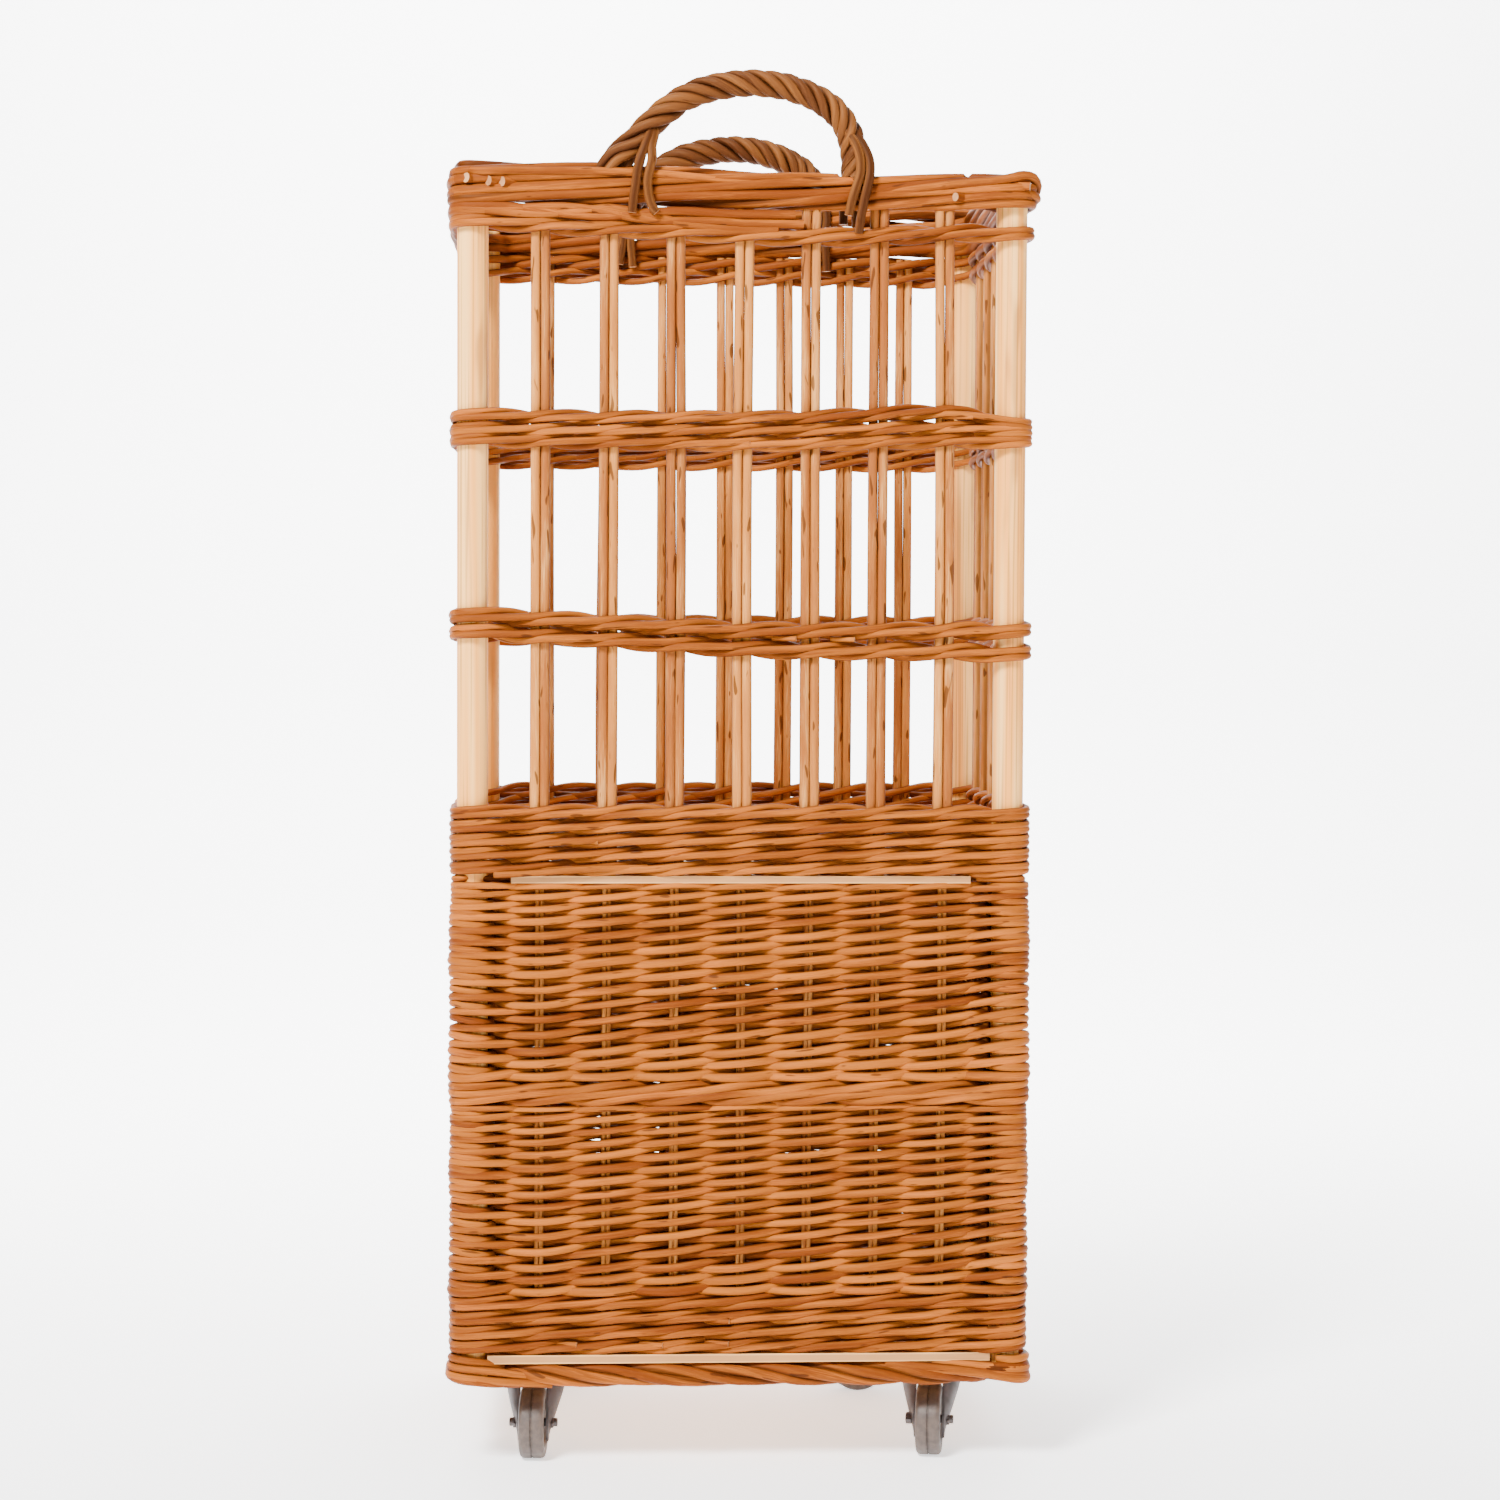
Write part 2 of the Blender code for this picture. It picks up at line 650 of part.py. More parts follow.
def build_wheel(place, swivel):
    """A solid wheel with a hub, a dished web and a chamfered tyre, bored for the axle."""
    bore = AXLE_RADIUS + FIT
    tyre = WHEEL_WIDTH / 2
    half = [
        (bore, HUB_WIDTH / 2),
        (HUB_RADIUS, HUB_WIDTH / 2),
        (WHEEL_RADIUS - WHEEL_CHAMFER, tyre - WHEEL_BULGE),
        (WHEEL_RADIUS, tyre - WHEEL_BULGE - WHEEL_CHAMFER),
    ]
    profile = half + [(radius, -height) for radius, height in half[::-1]] + half[:1]
    wheel = turned(f"{place}_caster_wheel", profile, WHEEL_SIDES, "rubber")
    wheel.parent = swivel
    wheel.location = (0, -TRAIL, AXLE_HEIGHT)
    turn = Matrix.Rotation(math.radians(QUARTER_TURN), 4, "Y")
    facet_down = Matrix.Rotation(math.pi / WHEEL_SIDES, 4, "Z")
    wheel.rotation_euler = (turn @ facet_down).to_euler()


def fork_bores():
    """The kingpin's hole and the axle's hole, in the fork's own frame."""
    pin = bmesh.new()
    bmesh.ops.create_cone(
        pin, cap_ends=True, segments=RACE_SIDES,
        radius1=KINGPIN_RADIUS + FIT, radius2=KINGPIN_RADIUS + FIT, depth=SHEET + 2 * OVERRUN,
        matrix=Matrix.Translation((0, 0, CROWN_TOP - SHEET / 2)),
    )
    axle = bmesh.new()
    across = Matrix.Rotation(math.radians(QUARTER_TURN), 4, "Y")
    bmesh.ops.create_cone(
        axle, cap_ends=True, segments=AXLE_SIDES,
        radius1=AXLE_RADIUS + FIT, radius2=AXLE_RADIUS + FIT, depth=2 * (LEG_FACE + OVERRUN),
        matrix=Matrix.Translation((0, -TRAIL, AXLE_HEIGHT)) @ across,
    )
    return mesh_from(pin, "kingpin_hole"), mesh_from(axle, "axle_hole")


def build_casters():
    bores = fork_bores()
    for place, heading in HEADINGS.items():
        end, side = place.split("_")
        inset_x = FRONT_INSET_X if end == "front" else REAR_INSET_X
        x = (POST_X - inset_x) * (1 if side == "right" else -1)
        y = FRONT_INSET_Y - POST_Y if end == "front" else POST_Y - REAR_INSET_Y
        build_caster(place, x, y, heading, bores)


clear_scene()
parts = new_collection("baguette_basket")
cutters = new_collection("cutters")
underneath = BASE_LOW - FOOT_BORDER - OVERRUN
overhead = BORDER_TOP + OVERRUN
hollow_cutter = add_cutter(
    "basket_hollow",
    prism("basket_hollow", inner_outline(POST_RADIUS + EYE_WRAP), underneath, overhead),
)
post_cutter = add_cutter("post_holes", mesh_from(post_holes(underneath, overhead), "post_holes"))
rope_section = add_cutter("rope_section", outline_curve("rope_section", rope_outline()))
build_posts()
build_stakes()
thin = opening_cutter("thin_openings", THIN_ROD, BASE_LOW - OVERRUN, WAIST_TOP + FIT / 2)
thick = opening_cutter("thick_openings", THICK_ROD, WAIST_TOP + FIT / 2, overhead)
build_boards(thin)
build_weave(hollow_cutter, post_cutter, thin, thick)
build_handle("front_handle", -1, rope_section)
build_handle("rear_handle", 1, rope_section)
build_casters()
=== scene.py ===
"""Looks of a baguette basket: willow rods, pine posts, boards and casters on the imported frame.

Metres, +Z up, the front faces -Y. Places on the weave are counted in stations: every post and
every pair of stakes is one, from the front left post (0) anticlockwise round the basket.
"""

import json
import math

import bpy
import numpy as np
from mathutils import Matrix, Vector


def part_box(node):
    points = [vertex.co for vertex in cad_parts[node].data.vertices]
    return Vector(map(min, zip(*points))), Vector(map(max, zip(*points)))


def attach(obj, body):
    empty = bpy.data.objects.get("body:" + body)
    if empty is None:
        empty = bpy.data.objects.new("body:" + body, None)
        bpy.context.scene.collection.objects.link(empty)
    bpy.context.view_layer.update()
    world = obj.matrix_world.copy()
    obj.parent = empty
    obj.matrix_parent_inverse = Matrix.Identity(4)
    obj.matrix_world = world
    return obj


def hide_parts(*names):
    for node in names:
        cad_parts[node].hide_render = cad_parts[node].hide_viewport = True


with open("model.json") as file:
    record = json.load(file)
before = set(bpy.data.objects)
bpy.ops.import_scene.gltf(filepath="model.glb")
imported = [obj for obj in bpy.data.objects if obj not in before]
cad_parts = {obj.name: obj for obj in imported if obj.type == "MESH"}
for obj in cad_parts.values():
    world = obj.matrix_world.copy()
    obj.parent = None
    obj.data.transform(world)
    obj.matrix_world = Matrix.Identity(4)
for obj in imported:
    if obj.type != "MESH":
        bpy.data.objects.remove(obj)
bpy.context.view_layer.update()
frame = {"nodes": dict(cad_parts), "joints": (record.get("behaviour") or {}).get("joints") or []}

bl_info = {
    "name": "Baguette basket",
    "version": (1, 0, 0),
    "blender": (4, 5, 0),
    "location": "3D View > Sidebar > Basket",
    "description": "Weaves a willow basket round its posts, boards and casters",
    "category": "Add Mesh",
}

MM = 0.001
SEED = 11


# The frame's own places
def span(node):
    """Lowest and highest corner of a CAD node."""
    low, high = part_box(node)
    return np.array(low), np.array(high)


def middle(node):
    low, high = span(node)
    return (low + high) / 2


SIDE_NAMES = ("front", "right", "rear", "left")
ALONG = np.array([(1, 0), (0, 1), (-1, 0), (0, -1)], float)
OUT = np.array([(0, -1), (1, 0), (0, 1), (-1, 0)], float)
STAKE_ORDER = {"front": (1, 2, 3, 4, 5, 6, 7), "right": (1, 2, 3, 4, 5),
               "rear": (7, 6, 5, 4, 3, 2, 1), "left": (5, 4, 3, 2, 1)}
POST_NAMES = ("front_left_post", "front_right_post", "rear_right_post", "rear_left_post")
CASTERS = ("front_left", "front_right", "rear_left", "rear_right")
POSTS = np.array([middle(name)[:2] for name in POST_NAMES])
POST_RADIUS = (span(POST_NAMES[0])[1][0] - span(POST_NAMES[0])[0][0]) / 2
POST_TOP = span(POST_NAMES[0])[1][2]
THICK_STAKE = (span("front_stakes_1")[1][1] - span("front_stakes_1")[0][1]) / 2
THIN_STAKE = 1.6 * MM


def station_list():
    """Each station's side, its place on the plan and, at a post, the post's number."""
    sides, places, posts = [], [], {}
    for side, name in enumerate(SIDE_NAMES):
        posts[len(places)] = side
        sides.append(side)
        places.append(POSTS[side])
        for number in STAKE_ORDER[name]:
            sides.append(side)
            places.append(middle(f"{name}_stakes_{number}")[:2])
    return sides, np.array(places), posts


STATION_SIDES, STATION_PLACES, POST_AT = station_list()
STATIONS = len(STATION_SIDES)
FRONT_RIGHT = list(POST_AT)[1]  # the front right post's station
LINE_OUT = POST_RADIUS / 2 + 3 * MM  # from the posts' line out to the middle of a border
BORDER_HALF = 8.4 * MM  # half the thickness of a border
PITCH = 46.5  # mean distance of two stations in mm
WEAVE_STEP = 5.5 * MM  # distance of the points along a woven rod


def round_post(post, angles, radius):
    """Points round a post at angles in degrees, 0 where its corner of the basket points."""
    turn = np.radians(np.asarray(angles, float) + 225 + 90 * post)
    return POSTS[post] + np.stack([np.cos(turn), np.sin(turn)], -1) * np.reshape(radius, (-1, 1))


def pass_post(station, way):
    """Angles at a post and their stations: in front of it, behind it (-1) or once round it (0)."""
    if way > 0:
        angles = np.linspace(-50, 50, 5)
        return angles, station + angles / 360
    if way < 0:
        angles = np.array([215, 180, 145])
        return angles, station + (180 - angles) / 360
    angles = np.linspace(215, -215, 17)
    return angles, station - angles / 360


def spline(knots, step):
    """A smooth line through the knots with a point about every step.

    Between two knots it is the cubic (2t^3 - 3t^2 + 1) a + (t^3 - 2t^2 + t) h u + (3t^2 - 2t^3) b
    + (t^3 - t^2) h v, with h the chord and u, v the slopes, each a mean of the chords beside it.
    """
    chord = np.linalg.norm(np.diff(knots[:, :3], axis=0), axis=1)
    slope = np.diff(knots, axis=0) / chord[:, None]
    tangent = np.empty_like(knots)
    weights = chord[1:, None] * slope[:-1] + chord[:-1, None] * slope[1:]
    tangent[1:-1] = weights / (chord[:-1] + chord[1:])[:, None]
    tangent[0], tangent[-1] = slope[0], slope[-1]
    count = np.maximum(2, np.round(chord / step)).astype(int)
    which = np.repeat(np.arange(len(chord)), count)
    t = (np.arange(len(which)) - np.repeat(np.cumsum(count) - count, count)) / count[which]
    t, h = t[:, None], chord[which][:, None]
    line = (2 * t ** 3 - 3 * t ** 2 + 1) * knots[which] + (3 * t ** 2 - 2 * t ** 3) * knots[which + 1]
    line += h * ((t ** 3 - 2 * t ** 2 + t) * tangent[which] + (t ** 3 - t ** 2) * tangent[which + 1])
    return np.concatenate([line, knots[-1:]])


def weaver(first, last, passes, rod, stake, height):
    """Knots of a woven rod from station first to station last: x, y, z and the station.

    passes(station) is 1 in front, -1 behind and 0 for a full turn round a post. rod and height
    give the rod's radius and level at a station, with fractions.
    """
    places, at = [], []
    for station in range(first, last + 1):
        way, number = passes(station), station % STATIONS
        if number not in POST_AT:
            reach = way * (stake + rod(np.array([station]))[0])
            places.append(STATION_PLACES[number][None] + OUT[STATION_SIDES[number]] * reach)
            at.append([station])
            continue
        angles, here = pass_post(station, way)
        places.append(round_post(POST_AT[number], angles, POST_RADIUS + rod(here)))
        at.append(here)
    places, at = np.concatenate(places), np.concatenate(at)
    return np.column_stack([places, height(at), at])


class Bundle:
    """Rods, turned and bent pieces gathered into one mesh, each a row of closed rings."""

    def __init__(self, seed=0):
        self.rng = np.random.default_rng(SEED + seed)
        self.points, self.grain, self.tone = [], [], []
        self.quads, self.ends = [], []
        self.count = 0

    def add(self, rings, grain=None, tone=None, closed=False):
        """Rings (R, N, 3), each turning anticlockwise seen from the next one, joined by quads."""
        rows, sides = rings.shape[:2]
        i = np.arange(rows if closed else rows - 1)[:, None]
        j = np.arange(sides)[None]
        i2, j2 = (i + 1) % rows, (j + 1) % sides
        quads = np.stack([i * sides + j, i * sides + j2, i2 * sides + j2, i2 * sides + j], -1)
        self.quads.append(quads.reshape(-1, 4) + self.count)
        if not closed:
            self.ends.append(np.arange(sides)[::-1] + self.count)
            self.ends.append(np.arange(sides) + (rows - 1) * sides + self.count)
        self.points.append(rings.reshape(-1, 3))
        self.grain.append(np.zeros((rows * sides, 3)) if grain is None else grain.reshape(-1, 3))
        tone = self.rng.uniform(0, 1) if tone is None else tone
        self.tone.append(np.repeat(np.broadcast_to(np.asarray(tone, float), rows), sides))
        self.count += rows * sides

    def rod(self, path, radius, tone=None, sides=8, closed=False, up=(0, 0, 1)):
        """A round rod: path + radius (cos a * side + sin a * top), with side and top across the path."""
        path = np.asarray(path, float)[:, :3]
        radius = np.broadcast_to(np.asarray(radius, float), len(path))
        tangent = np.roll(path, -1, 0) - np.roll(path, 1, 0)
        if not closed:
            tangent = np.gradient(path, axis=0)
        tangent /= np.linalg.norm(tangent, axis=1)[:, None]
        side = np.cross(np.asarray(up, float), tangent)
        side /= np.linalg.norm(side, axis=1)[:, None]
        top = np.cross(tangent, side)
        angle = math.tau * np.arange(sides) / sides
        ring = np.cos(angle)[:, None] * side[:, None] + np.sin(angle)[:, None] * top[:, None]
        rings = path[:, None] + radius[:, None, None] * ring
        steps = np.linalg.norm(np.diff(path, axis=0), axis=1)
        along = np.concatenate(([0], np.cumsum(steps))) + self.rng.uniform(0, 9)
        grain = np.empty(rings.shape)
        grain[..., 0], grain[..., 1], grain[..., 2] = np.cos(angle), np.sin(angle), along[:, None]
        self.add(rings, grain, tone, closed)

    def weave(self, name, node):
        """The mesh object of woven or laid rods of the basket."""
        self.build(name, ("weavers", "cut_willow"), "basket", [node])

    def build(self, name, looks, body, nodes, crease=60):
        """The mesh object, riding on its body and standing for its CAD nodes."""
        quads = np.concatenate(self.quads)
        corners = np.concatenate([quads.ravel(), *self.ends])
        sizes = np.array([4] * len(quads) + [len(end) for end in self.ends])
        mesh = bpy.data.meshes.new(name)
        mesh.vertices.add(self.count)
        mesh.vertices.foreach_set("co", np.concatenate(self.points).ravel())
        mesh.loops.add(len(corners))
        mesh.loops.foreach_set("vertex_index", corners.astype(np.int32))
        mesh.polygons.add(len(sizes))
        mesh.polygons.foreach_set("loop_start", (np.cumsum(sizes) - sizes).astype(np.int32))
        for look in looks:
            mesh.materials.append(finish(look))
        if len(looks) > 1:
            kinds = np.arange(len(sizes)) >= len(quads)
            mesh.polygons.foreach_set("material_index", kinds.astype(np.int32))
        for label, kind, values in (("grain", "FLOAT_VECTOR", self.grain), ("tone", "FLOAT", self.tone)):
            attribute = mesh.attributes.new(label, kind, "POINT")
            field = "vector" if kind == "FLOAT_VECTOR" else "value"
            attribute.data.foreach_set(field, np.concatenate(values).ravel().astype(np.float32))
        mesh.update(calc_edges=True)
        mesh.set_sharp_from_angle(angle=math.radians(crease))
        piece = bpy.data.objects.new(name, mesh)
        bpy.context.scene.collection.objects.link(piece)
        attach(piece, body)
        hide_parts(*nodes)


def turned(profile, sides=48, unit=MM):
    """Rings of a turned piece about +Z from (radius, height) pairs, listed upwards."""
    profile = np.array(profile, float) * unit
    angle = math.tau * np.arange(sides) / sides
    rings = np.empty((len(profile), sides, 3))
    rings[..., 0] = profile[:, :1] * np.cos(angle)
    rings[..., 1] = profile[:, :1] * np.sin(angle)
    rings[..., 2] = profile[:, 1:]
    return rings


# Finishes
def colour(code):
    """Linear colour of a hexadecimal sRGB one: c / 12.92 or ((c + 0.055) / 1.055)^2.4."""
    levels = [int(code[i:i + 2], 16) / 255 for i in (0, 2, 4)]
    return [c / 12.92 if c <= 0.04045 else ((c + 0.055) / 1.055) ** 2.4 for c in levels] + [1]


class Term:
    """A value in a material's node tree, so that sums of textures are written as sums."""

    def __init__(self, finish, socket):
        self.finish, self.socket = finish, socket

    def __add__(self, other):
        return self.finish.maths("ADD", self, other)

    def __sub__(self, other):
        return self.finish.maths("SUBTRACT", self, other)

    def __rsub__(self, other):
        return self.finish.maths("SUBTRACT", other, self)

    def __mul__(self, other):
        return self.finish.maths("MULTIPLY", self, other)

    __radd__, __rmul__ = __add__, __mul__

    def band(self, start, end, low=0.0, high=1.0):
        """Smoothly from low to high while the value goes from start to end."""
        return self.finish.make("ShaderNodeMapRange", 0, {0: self, 1: start, 2: end, 3: low, 4: high},
                                interpolation_type="SMOOTHSTEP")


class Finish:
    """A procedural material; make() adds each of its nodes."""

    def __init__(self, name):
        self.material = bpy.data.materials.new(name)
        self.material.use_nodes = True
        self.tree = self.material.node_tree
        self.tree.nodes.clear()
        self.skin = self.tree.nodes.new("ShaderNodeBsdfPrincipled")
        self.make("ShaderNodeOutputMaterial", None, {"Surface": self.skin.outputs[0]})

    def make(self, kind, output, inputs=None, **options):
        """A new node with its options and inputs set; returns one of its outputs."""
        node = self.tree.nodes.new(kind)
        for option, value in options.items():
            setattr(node, option, value)
        for socket, value in (inputs or {}).items():
            self.feed(node.inputs[socket], value)
        return None if output is None else Term(self, node.outputs[output])

    def feed(self, socket, value):
        value = value.socket if isinstance(value, Term) else value
        if isinstance(value, bpy.types.NodeSocket):
            self.tree.links.new(value, socket)
        else:
            socket.default_value = value

    def set(self, **inputs):
        """Feeds the skin's inputs, written with underscores for blanks."""
        for name, value in inputs.items():
            self.feed(self.skin.inputs[name.replace("_", " ")], value)

    def maths(self, operation, a, b):
        return self.make("ShaderNodeMath", 0, {0: a, 1: b}, operation=operation)

    def stretch(self, vector, *scales):
        return self.make("ShaderNodeVectorMath", 0, {0: vector, 1: scales}, operation="MULTIPLY")

    def noise(self, vector, scale=1.0, detail=3.0):
        return self.make("ShaderNodeTexNoise", 0, {"Vector": vector, "Scale": scale, "Detail": detail})

    def mix(self, share, a, b):
        return self.make("ShaderNodeMix", 2, {0: share, 6: a, 7: b}, data_type="RGBA")

    def attribute(self, name, output):
        return self.make("ShaderNodeAttribute", output, attribute_name=name)

    def place(self):
        return self.make("ShaderNodeTexCoord", "Object")

    def bump(self, height, depth, strength=0.5):
        self.set(Normal=self.make("ShaderNodeBump", 0, {"Strength": strength, "Distance": depth,
                                                        "Height": height}))


def willow(name, dark, light, pale, crease=0.75, knot=0.76):
    """Peeled willow: a tone for each rod, soft streaks along it, rare small knots and a gloss.

    It paints shade where the rods touch: darker by the square of the grain's second share (1 on those
    sides).
    """
    look = Finish(name)
    grain = look.attribute("grain", "Vector")
    tone = look.attribute("tone", "Fac")
    streaks = look.noise(look.stretch(grain, 1.6, 1.6, 30.0))
    blotches = look.noise(look.stretch(grain, 0.4, 0.4, 11.0), detail=1.0)
    fine = look.noise(look.stretch(grain, 6.0, 6.0, 60.0), detail=2.0)
    share = tone * 0.6 + streaks.band(0.3, 0.7) * 0.2 + blotches.band(0.3, 0.7) * 0.3 - 0.05
    base = look.mix(share.band(0.0, 1.0), colour(dark), colour(light))
    base = look.mix((fine * 0.5 + blotches * 0.5).band(0.5, 0.68) * 0.4, base, colour(pale))
    knots = look.noise(look.stretch(grain, 1.0, 1.0, 60.0), detail=0.0).band(knot, knot + 0.04)
    base = look.mix(knots * 0.75, base, colour("3A1A08"))
    # painted shade: the sides where a rod touches its neighbours are darkened towards 2A0E02, as much as
    # crease says
    across = look.make("ShaderNodeSeparateXYZ", 1, {0: grain})
    base = look.mix((across * across).band(0.5, 1.0) * crease, base, colour("2A0E02"))
    look.set(Base_Color=base, Roughness=fine.band(0.2, 0.8, 0.48, 0.6))
    look.set(Specular_IOR_Level=0.1, Specular_Tint=(1.0, 0.74, 0.5, 1))
    look.bump(streaks * 0.6 + fine * 0.4, 0.12 * MM, 0.4)
    return look.material


def timber(name, light, dark, pale, heart):
    """Planed softwood standing upright: fine straight year lines, paler stretches and brown heart."""
    look = Finish(name)
    lines = look.noise(look.stretch(look.place(), 520.0, 520.0, 5.0), 1.0, 1.0)
    broad = look.noise(look.stretch(look.place(), 110.0, 110.0, 2.5), 1.0, 1.0)
    flame = look.noise(look.stretch(look.place(), 55.0, 55.0, 7.0), 1.0, 2.0)
    base = look.mix(broad.band(0.4, 0.65), colour(light), colour(pale))
    base = look.mix(lines.band(0.5, 0.66) * 0.6, base, colour(dark))
    base = look.mix(flame.band(0.64, 0.72) * 0.5, base, colour(heart))
    look.set(Base_Color=base, Roughness=lines.band(0.2, 0.8, 0.5, 0.62), Specular_IOR_Level=0.3)
    look.bump(lines, 0.15 * MM, 0.3)
    return look.material


def plywood(name, node):
    """Raw board: a faint figure on its faces, light outer layers and a darker core on its edges."""
    low, high = span(node)
    look = Finish(name)
    figure = look.noise(look.stretch(look.place(), 12.0, 90.0, 90.0), 1.0, 4.0)
    level = look.make("ShaderNodeSeparateXYZ", 2, {0: look.place()})
    depth = (level - float(low[2] + high[2]) / 2) * (2 / float(high[2] - low[2]))
    base = look.mix(figure.band(0.3, 0.7), colour("E0A664"), colour("C48A4C"))
    base = look.mix((depth * depth).band(0.3, 0.65, 0.62, 0.0), base, colour("96602F"))
    look.set(Base_Color=base, Roughness=0.62)
    look.bump(figure, 0.1 * MM, 0.3)
    return look.material


def plain(name, shade, second, roughness, metallic=0.0, scale=60.0, soil=None):
    """Metal, rubber or a cut: two shades clouded together; a soil lies where the tone says so."""
    look = Finish(name)
    cloud = look.noise(look.place(), scale, 3.0)
    base = look.mix(cloud.band(0.3, 0.7), colour(shade), colour(second))
    if soil:
        soiled = look.attribute("tone", "Fac") * cloud.band(0.3, 0.6, 0.25, 0.85)
        base = look.mix(soiled, base, colour(soil))
    look.set(Base_Color=base, Metallic=metallic,
             Roughness=cloud.band(0.25, 0.75, roughness - 0.05, roughness + 0.08))
    look.bump(cloud, 0.05 * MM, 0.3)
    return look.material


LOOKS = {  # each finish's maker and what it is made with
    "weavers": (willow, "682E08", "A25A1A", "CC6E27"),
    "stakes": (willow, "87491D", "BE7834", "E6AC66", 0.6, 0.72),
    "handles": (willow, "482611", "683C1A", "905A2A"),
    "cut_willow": (plain, "C08A5A", "96623A", 0.6),
    "pine": (timber, "EE9C3E", "B06A28", "F8BC6A", "96541E"),
    "base_ply": (plywood, "base_board"),
    "waist_ply": (plywood, "waist_board"),
    "steel": (plain, "5C5554", "4C4645", 0.4, 0.7),
    "tread": (plain, "56483F", "483C36", 0.5, 0.0, 200.0, "2A1D14"),
}
FINISHES = {}


def finish(name):
    """A finish of the basket, made when it is first asked for."""
    if name not in FINISHES:
        maker, *values = LOOKS[name]
        FINISHES[name] = maker(name, *values)
    return FINISHES[name]


# Tables of the weave
BANDS = (  # node, rounds, its stakes' radius, thickness of its rods over their room and their tone
    ("bottom_wale", 4, THIN_STAKE, 1.1, 0.2),
    ("waist_band", 5, THICK_STAKE, 1.1, 0.42),
    ("middle_band", 2, THICK_STAKE, 0.78, 0.42),
    ("upper_band", 3, THICK_STAKE, 1.1, 0.42),
    ("rim_wale", 1, THICK_STAKE, 1.1, 0.42),
)
CUT_ENDS = {  # station and level in mm of the weavers' ends that show on the front
    "bottom_wale": ((1.57, 88.3), (2.85, 87.6), (3.83, 88.3), (3.84, 103.8)),
    "waist_band": ((1.87, 437.3), (2.8, 438.7)),
    "middle_band": ((4.79, 577.8), (5.66, 577.4)),
    "upper_band": ((4.1, 711.5), (7.3, 731.2)),
}
# Single rods: stops (station, reach from the posts' line and level in mm)
WAIST_START = ((0.5, 14.8, 414.6), (0.62, 16.4, 415.0), (1.0, 17, 416.4), (1.8, 16.6, 418.8),
               (2.6, 13, 419.5))
BORDER_RODS = (  # stops and radius
    (((0.35, 6, 896), (0.2, 11, 896), (0.28, 15.5, 895.5), (0.9, 15.8, 896), (2.4, 15.2, 895.5),
      (4.3, 12.5, 890.2), (5.0, 12, 890.6), (5.5, 11.5, 891), (6.1, 9, 889), (6.6, 6, 886)), 3.1),
    (((0.42, 8, 889), (0.26, 13, 890), (0.18, 18.4, 890.5)), 3.4),
    (((0.74, 8, 888.5), (0.54, 13, 888.5), (0.43, 18.8, 888.5)), 3.4),
    (((0.89, 8, 888), (0.7, 13, 888), (0.58, 18.9, 888)), 3.4),
    (((7.4, 8, 881), (7.2, 13, 881), (7.08, 18.6, 881)), 3.0),
    (((5.8, 9, 882), (6.2, 13, 885), (6.9, 14.5, 889), (7.6, 14.5, 893.5), (7.9, 14, 897),
      (8.08, 16, 896), (8.2, 17.4, 891), (8.3, 16, 886), (8.5, 12, 883)), 3.3),
    (((7.7, 10, 891), (7.86, 14, 889.5), (7.94, 18.6, 889)), 3.0),
    (((7.9, 12, 888), (8.05, 16, 884), (8.5, 15.8, 882), (9.6, 15.3, 880)), 3.3),
)
WAIST_CORNER = (  # stations counted from the post
    ((-0.6, 6, 411.4), (-0.3, 12, 411), (-0.15, 13, 411.2), (0.02, 13, 411.6), (0.14, 9, 412)),
    ((0.2, 9, 411), (0.4, 5, 411), (0.6, 4, 411), (0.8, 4, 411)),
)
FOOT_END = (  # the front right corner's own rods: stops, radius and tone
    (((6.2, 9, 72), (6.8, 13, 70.4), (7.3, 15, 67.8), (7.7, 16, 64.4), (8.0, 16.2, 61.6),
      (8.15, 16, 61), (8.4, 15.5, 61), (8.9, 12, 62)), 3.6, 0.3),
    (((6.9, 9, 72.5), (7.4, 13, 71.5), (7.8, 15.4, 69.6), (8.1, 15.8, 68.4), (8.4, 15.2, 67.8),
      (9, 11, 66)), 3.4, 0.45),
    (((7.66, 11, 76), (7.76, 14.6, 76), (8.05, 15.6, 76), (8.3, 15, 75.5), (8.6, 10, 75)), 3.0, 0.95),
)
FOOT_CORNER = (  # at the other three corners, stations counted from the post
    ((-0.75, 9, 71), (-0.4, 13, 76), (-0.2, 14.3, 77.6), (0.2, 14.3, 77.4), (0.42, 12, 75), (0.6, 7, 71)),
    ((-0.95, 9, 66), (-0.5, 14, 70.5), (-0.2, 15.4, 72), (0.2, 15.4, 71.6), (0.5, 15, 70), (1.0, 10, 64)),
    ((-0.8, 11, 60), (-0.4, 15, 64), (-0.2, 16, 66), (0.2, 16, 65.8), (0.5, 15.5, 63.6), (1.2, 11, 60)),
)
LIFTS = {  # for each round from the lowest, stations and millimetres over its level
    "middle_band": (
        ((0, 8.5), (2, 3.4), (4, -2.1), (5, -3.6), (7, -4.1), (8, -4.7), (11, -2), (14, 0), (22, 3),
         (25, 6), (28, 8.5)),
        ((0, 4.9), (2, 0.3), (4, -4.7), (5, -4.8), (7, -4.2), (8, -3.5), (11, -2), (14, 0), (22, 1),
         (25, 3), (28, 4.9))),
    "upper_band": (
        ((0, 3.2), (2, 2.1), (4, 1.1), (5, 1.4), (6, 3.2), (7, 4.9), (8, 4.6), (11, 2), (28, 3.2)),
        ((0, 1.2), (2, 0.3), (4, 1.2), (5, 1.7), (6, 2.8), (7, 4.3), (8, 2.7), (11, 1), (28, 1.2)),
        ((0, 1.4), (2, 0), (4, 0.6), (5, 1.2), (6, 4.1), (7, 6.8), (7.6, 2.6), (8, -2.2), (11, 0),
         (28, 1.4))),
    "rim_wale": (
        ((0, 8.5), (1, 6), (2, 4.2), (3, 2.8), (4, 0.8), (5, -0.4), (6, 1.2), (7, 3.4), (8, 4.2),
         (11, 3), (14, 3), (22, 4), (25, 6), (28, 8.5)),),
}


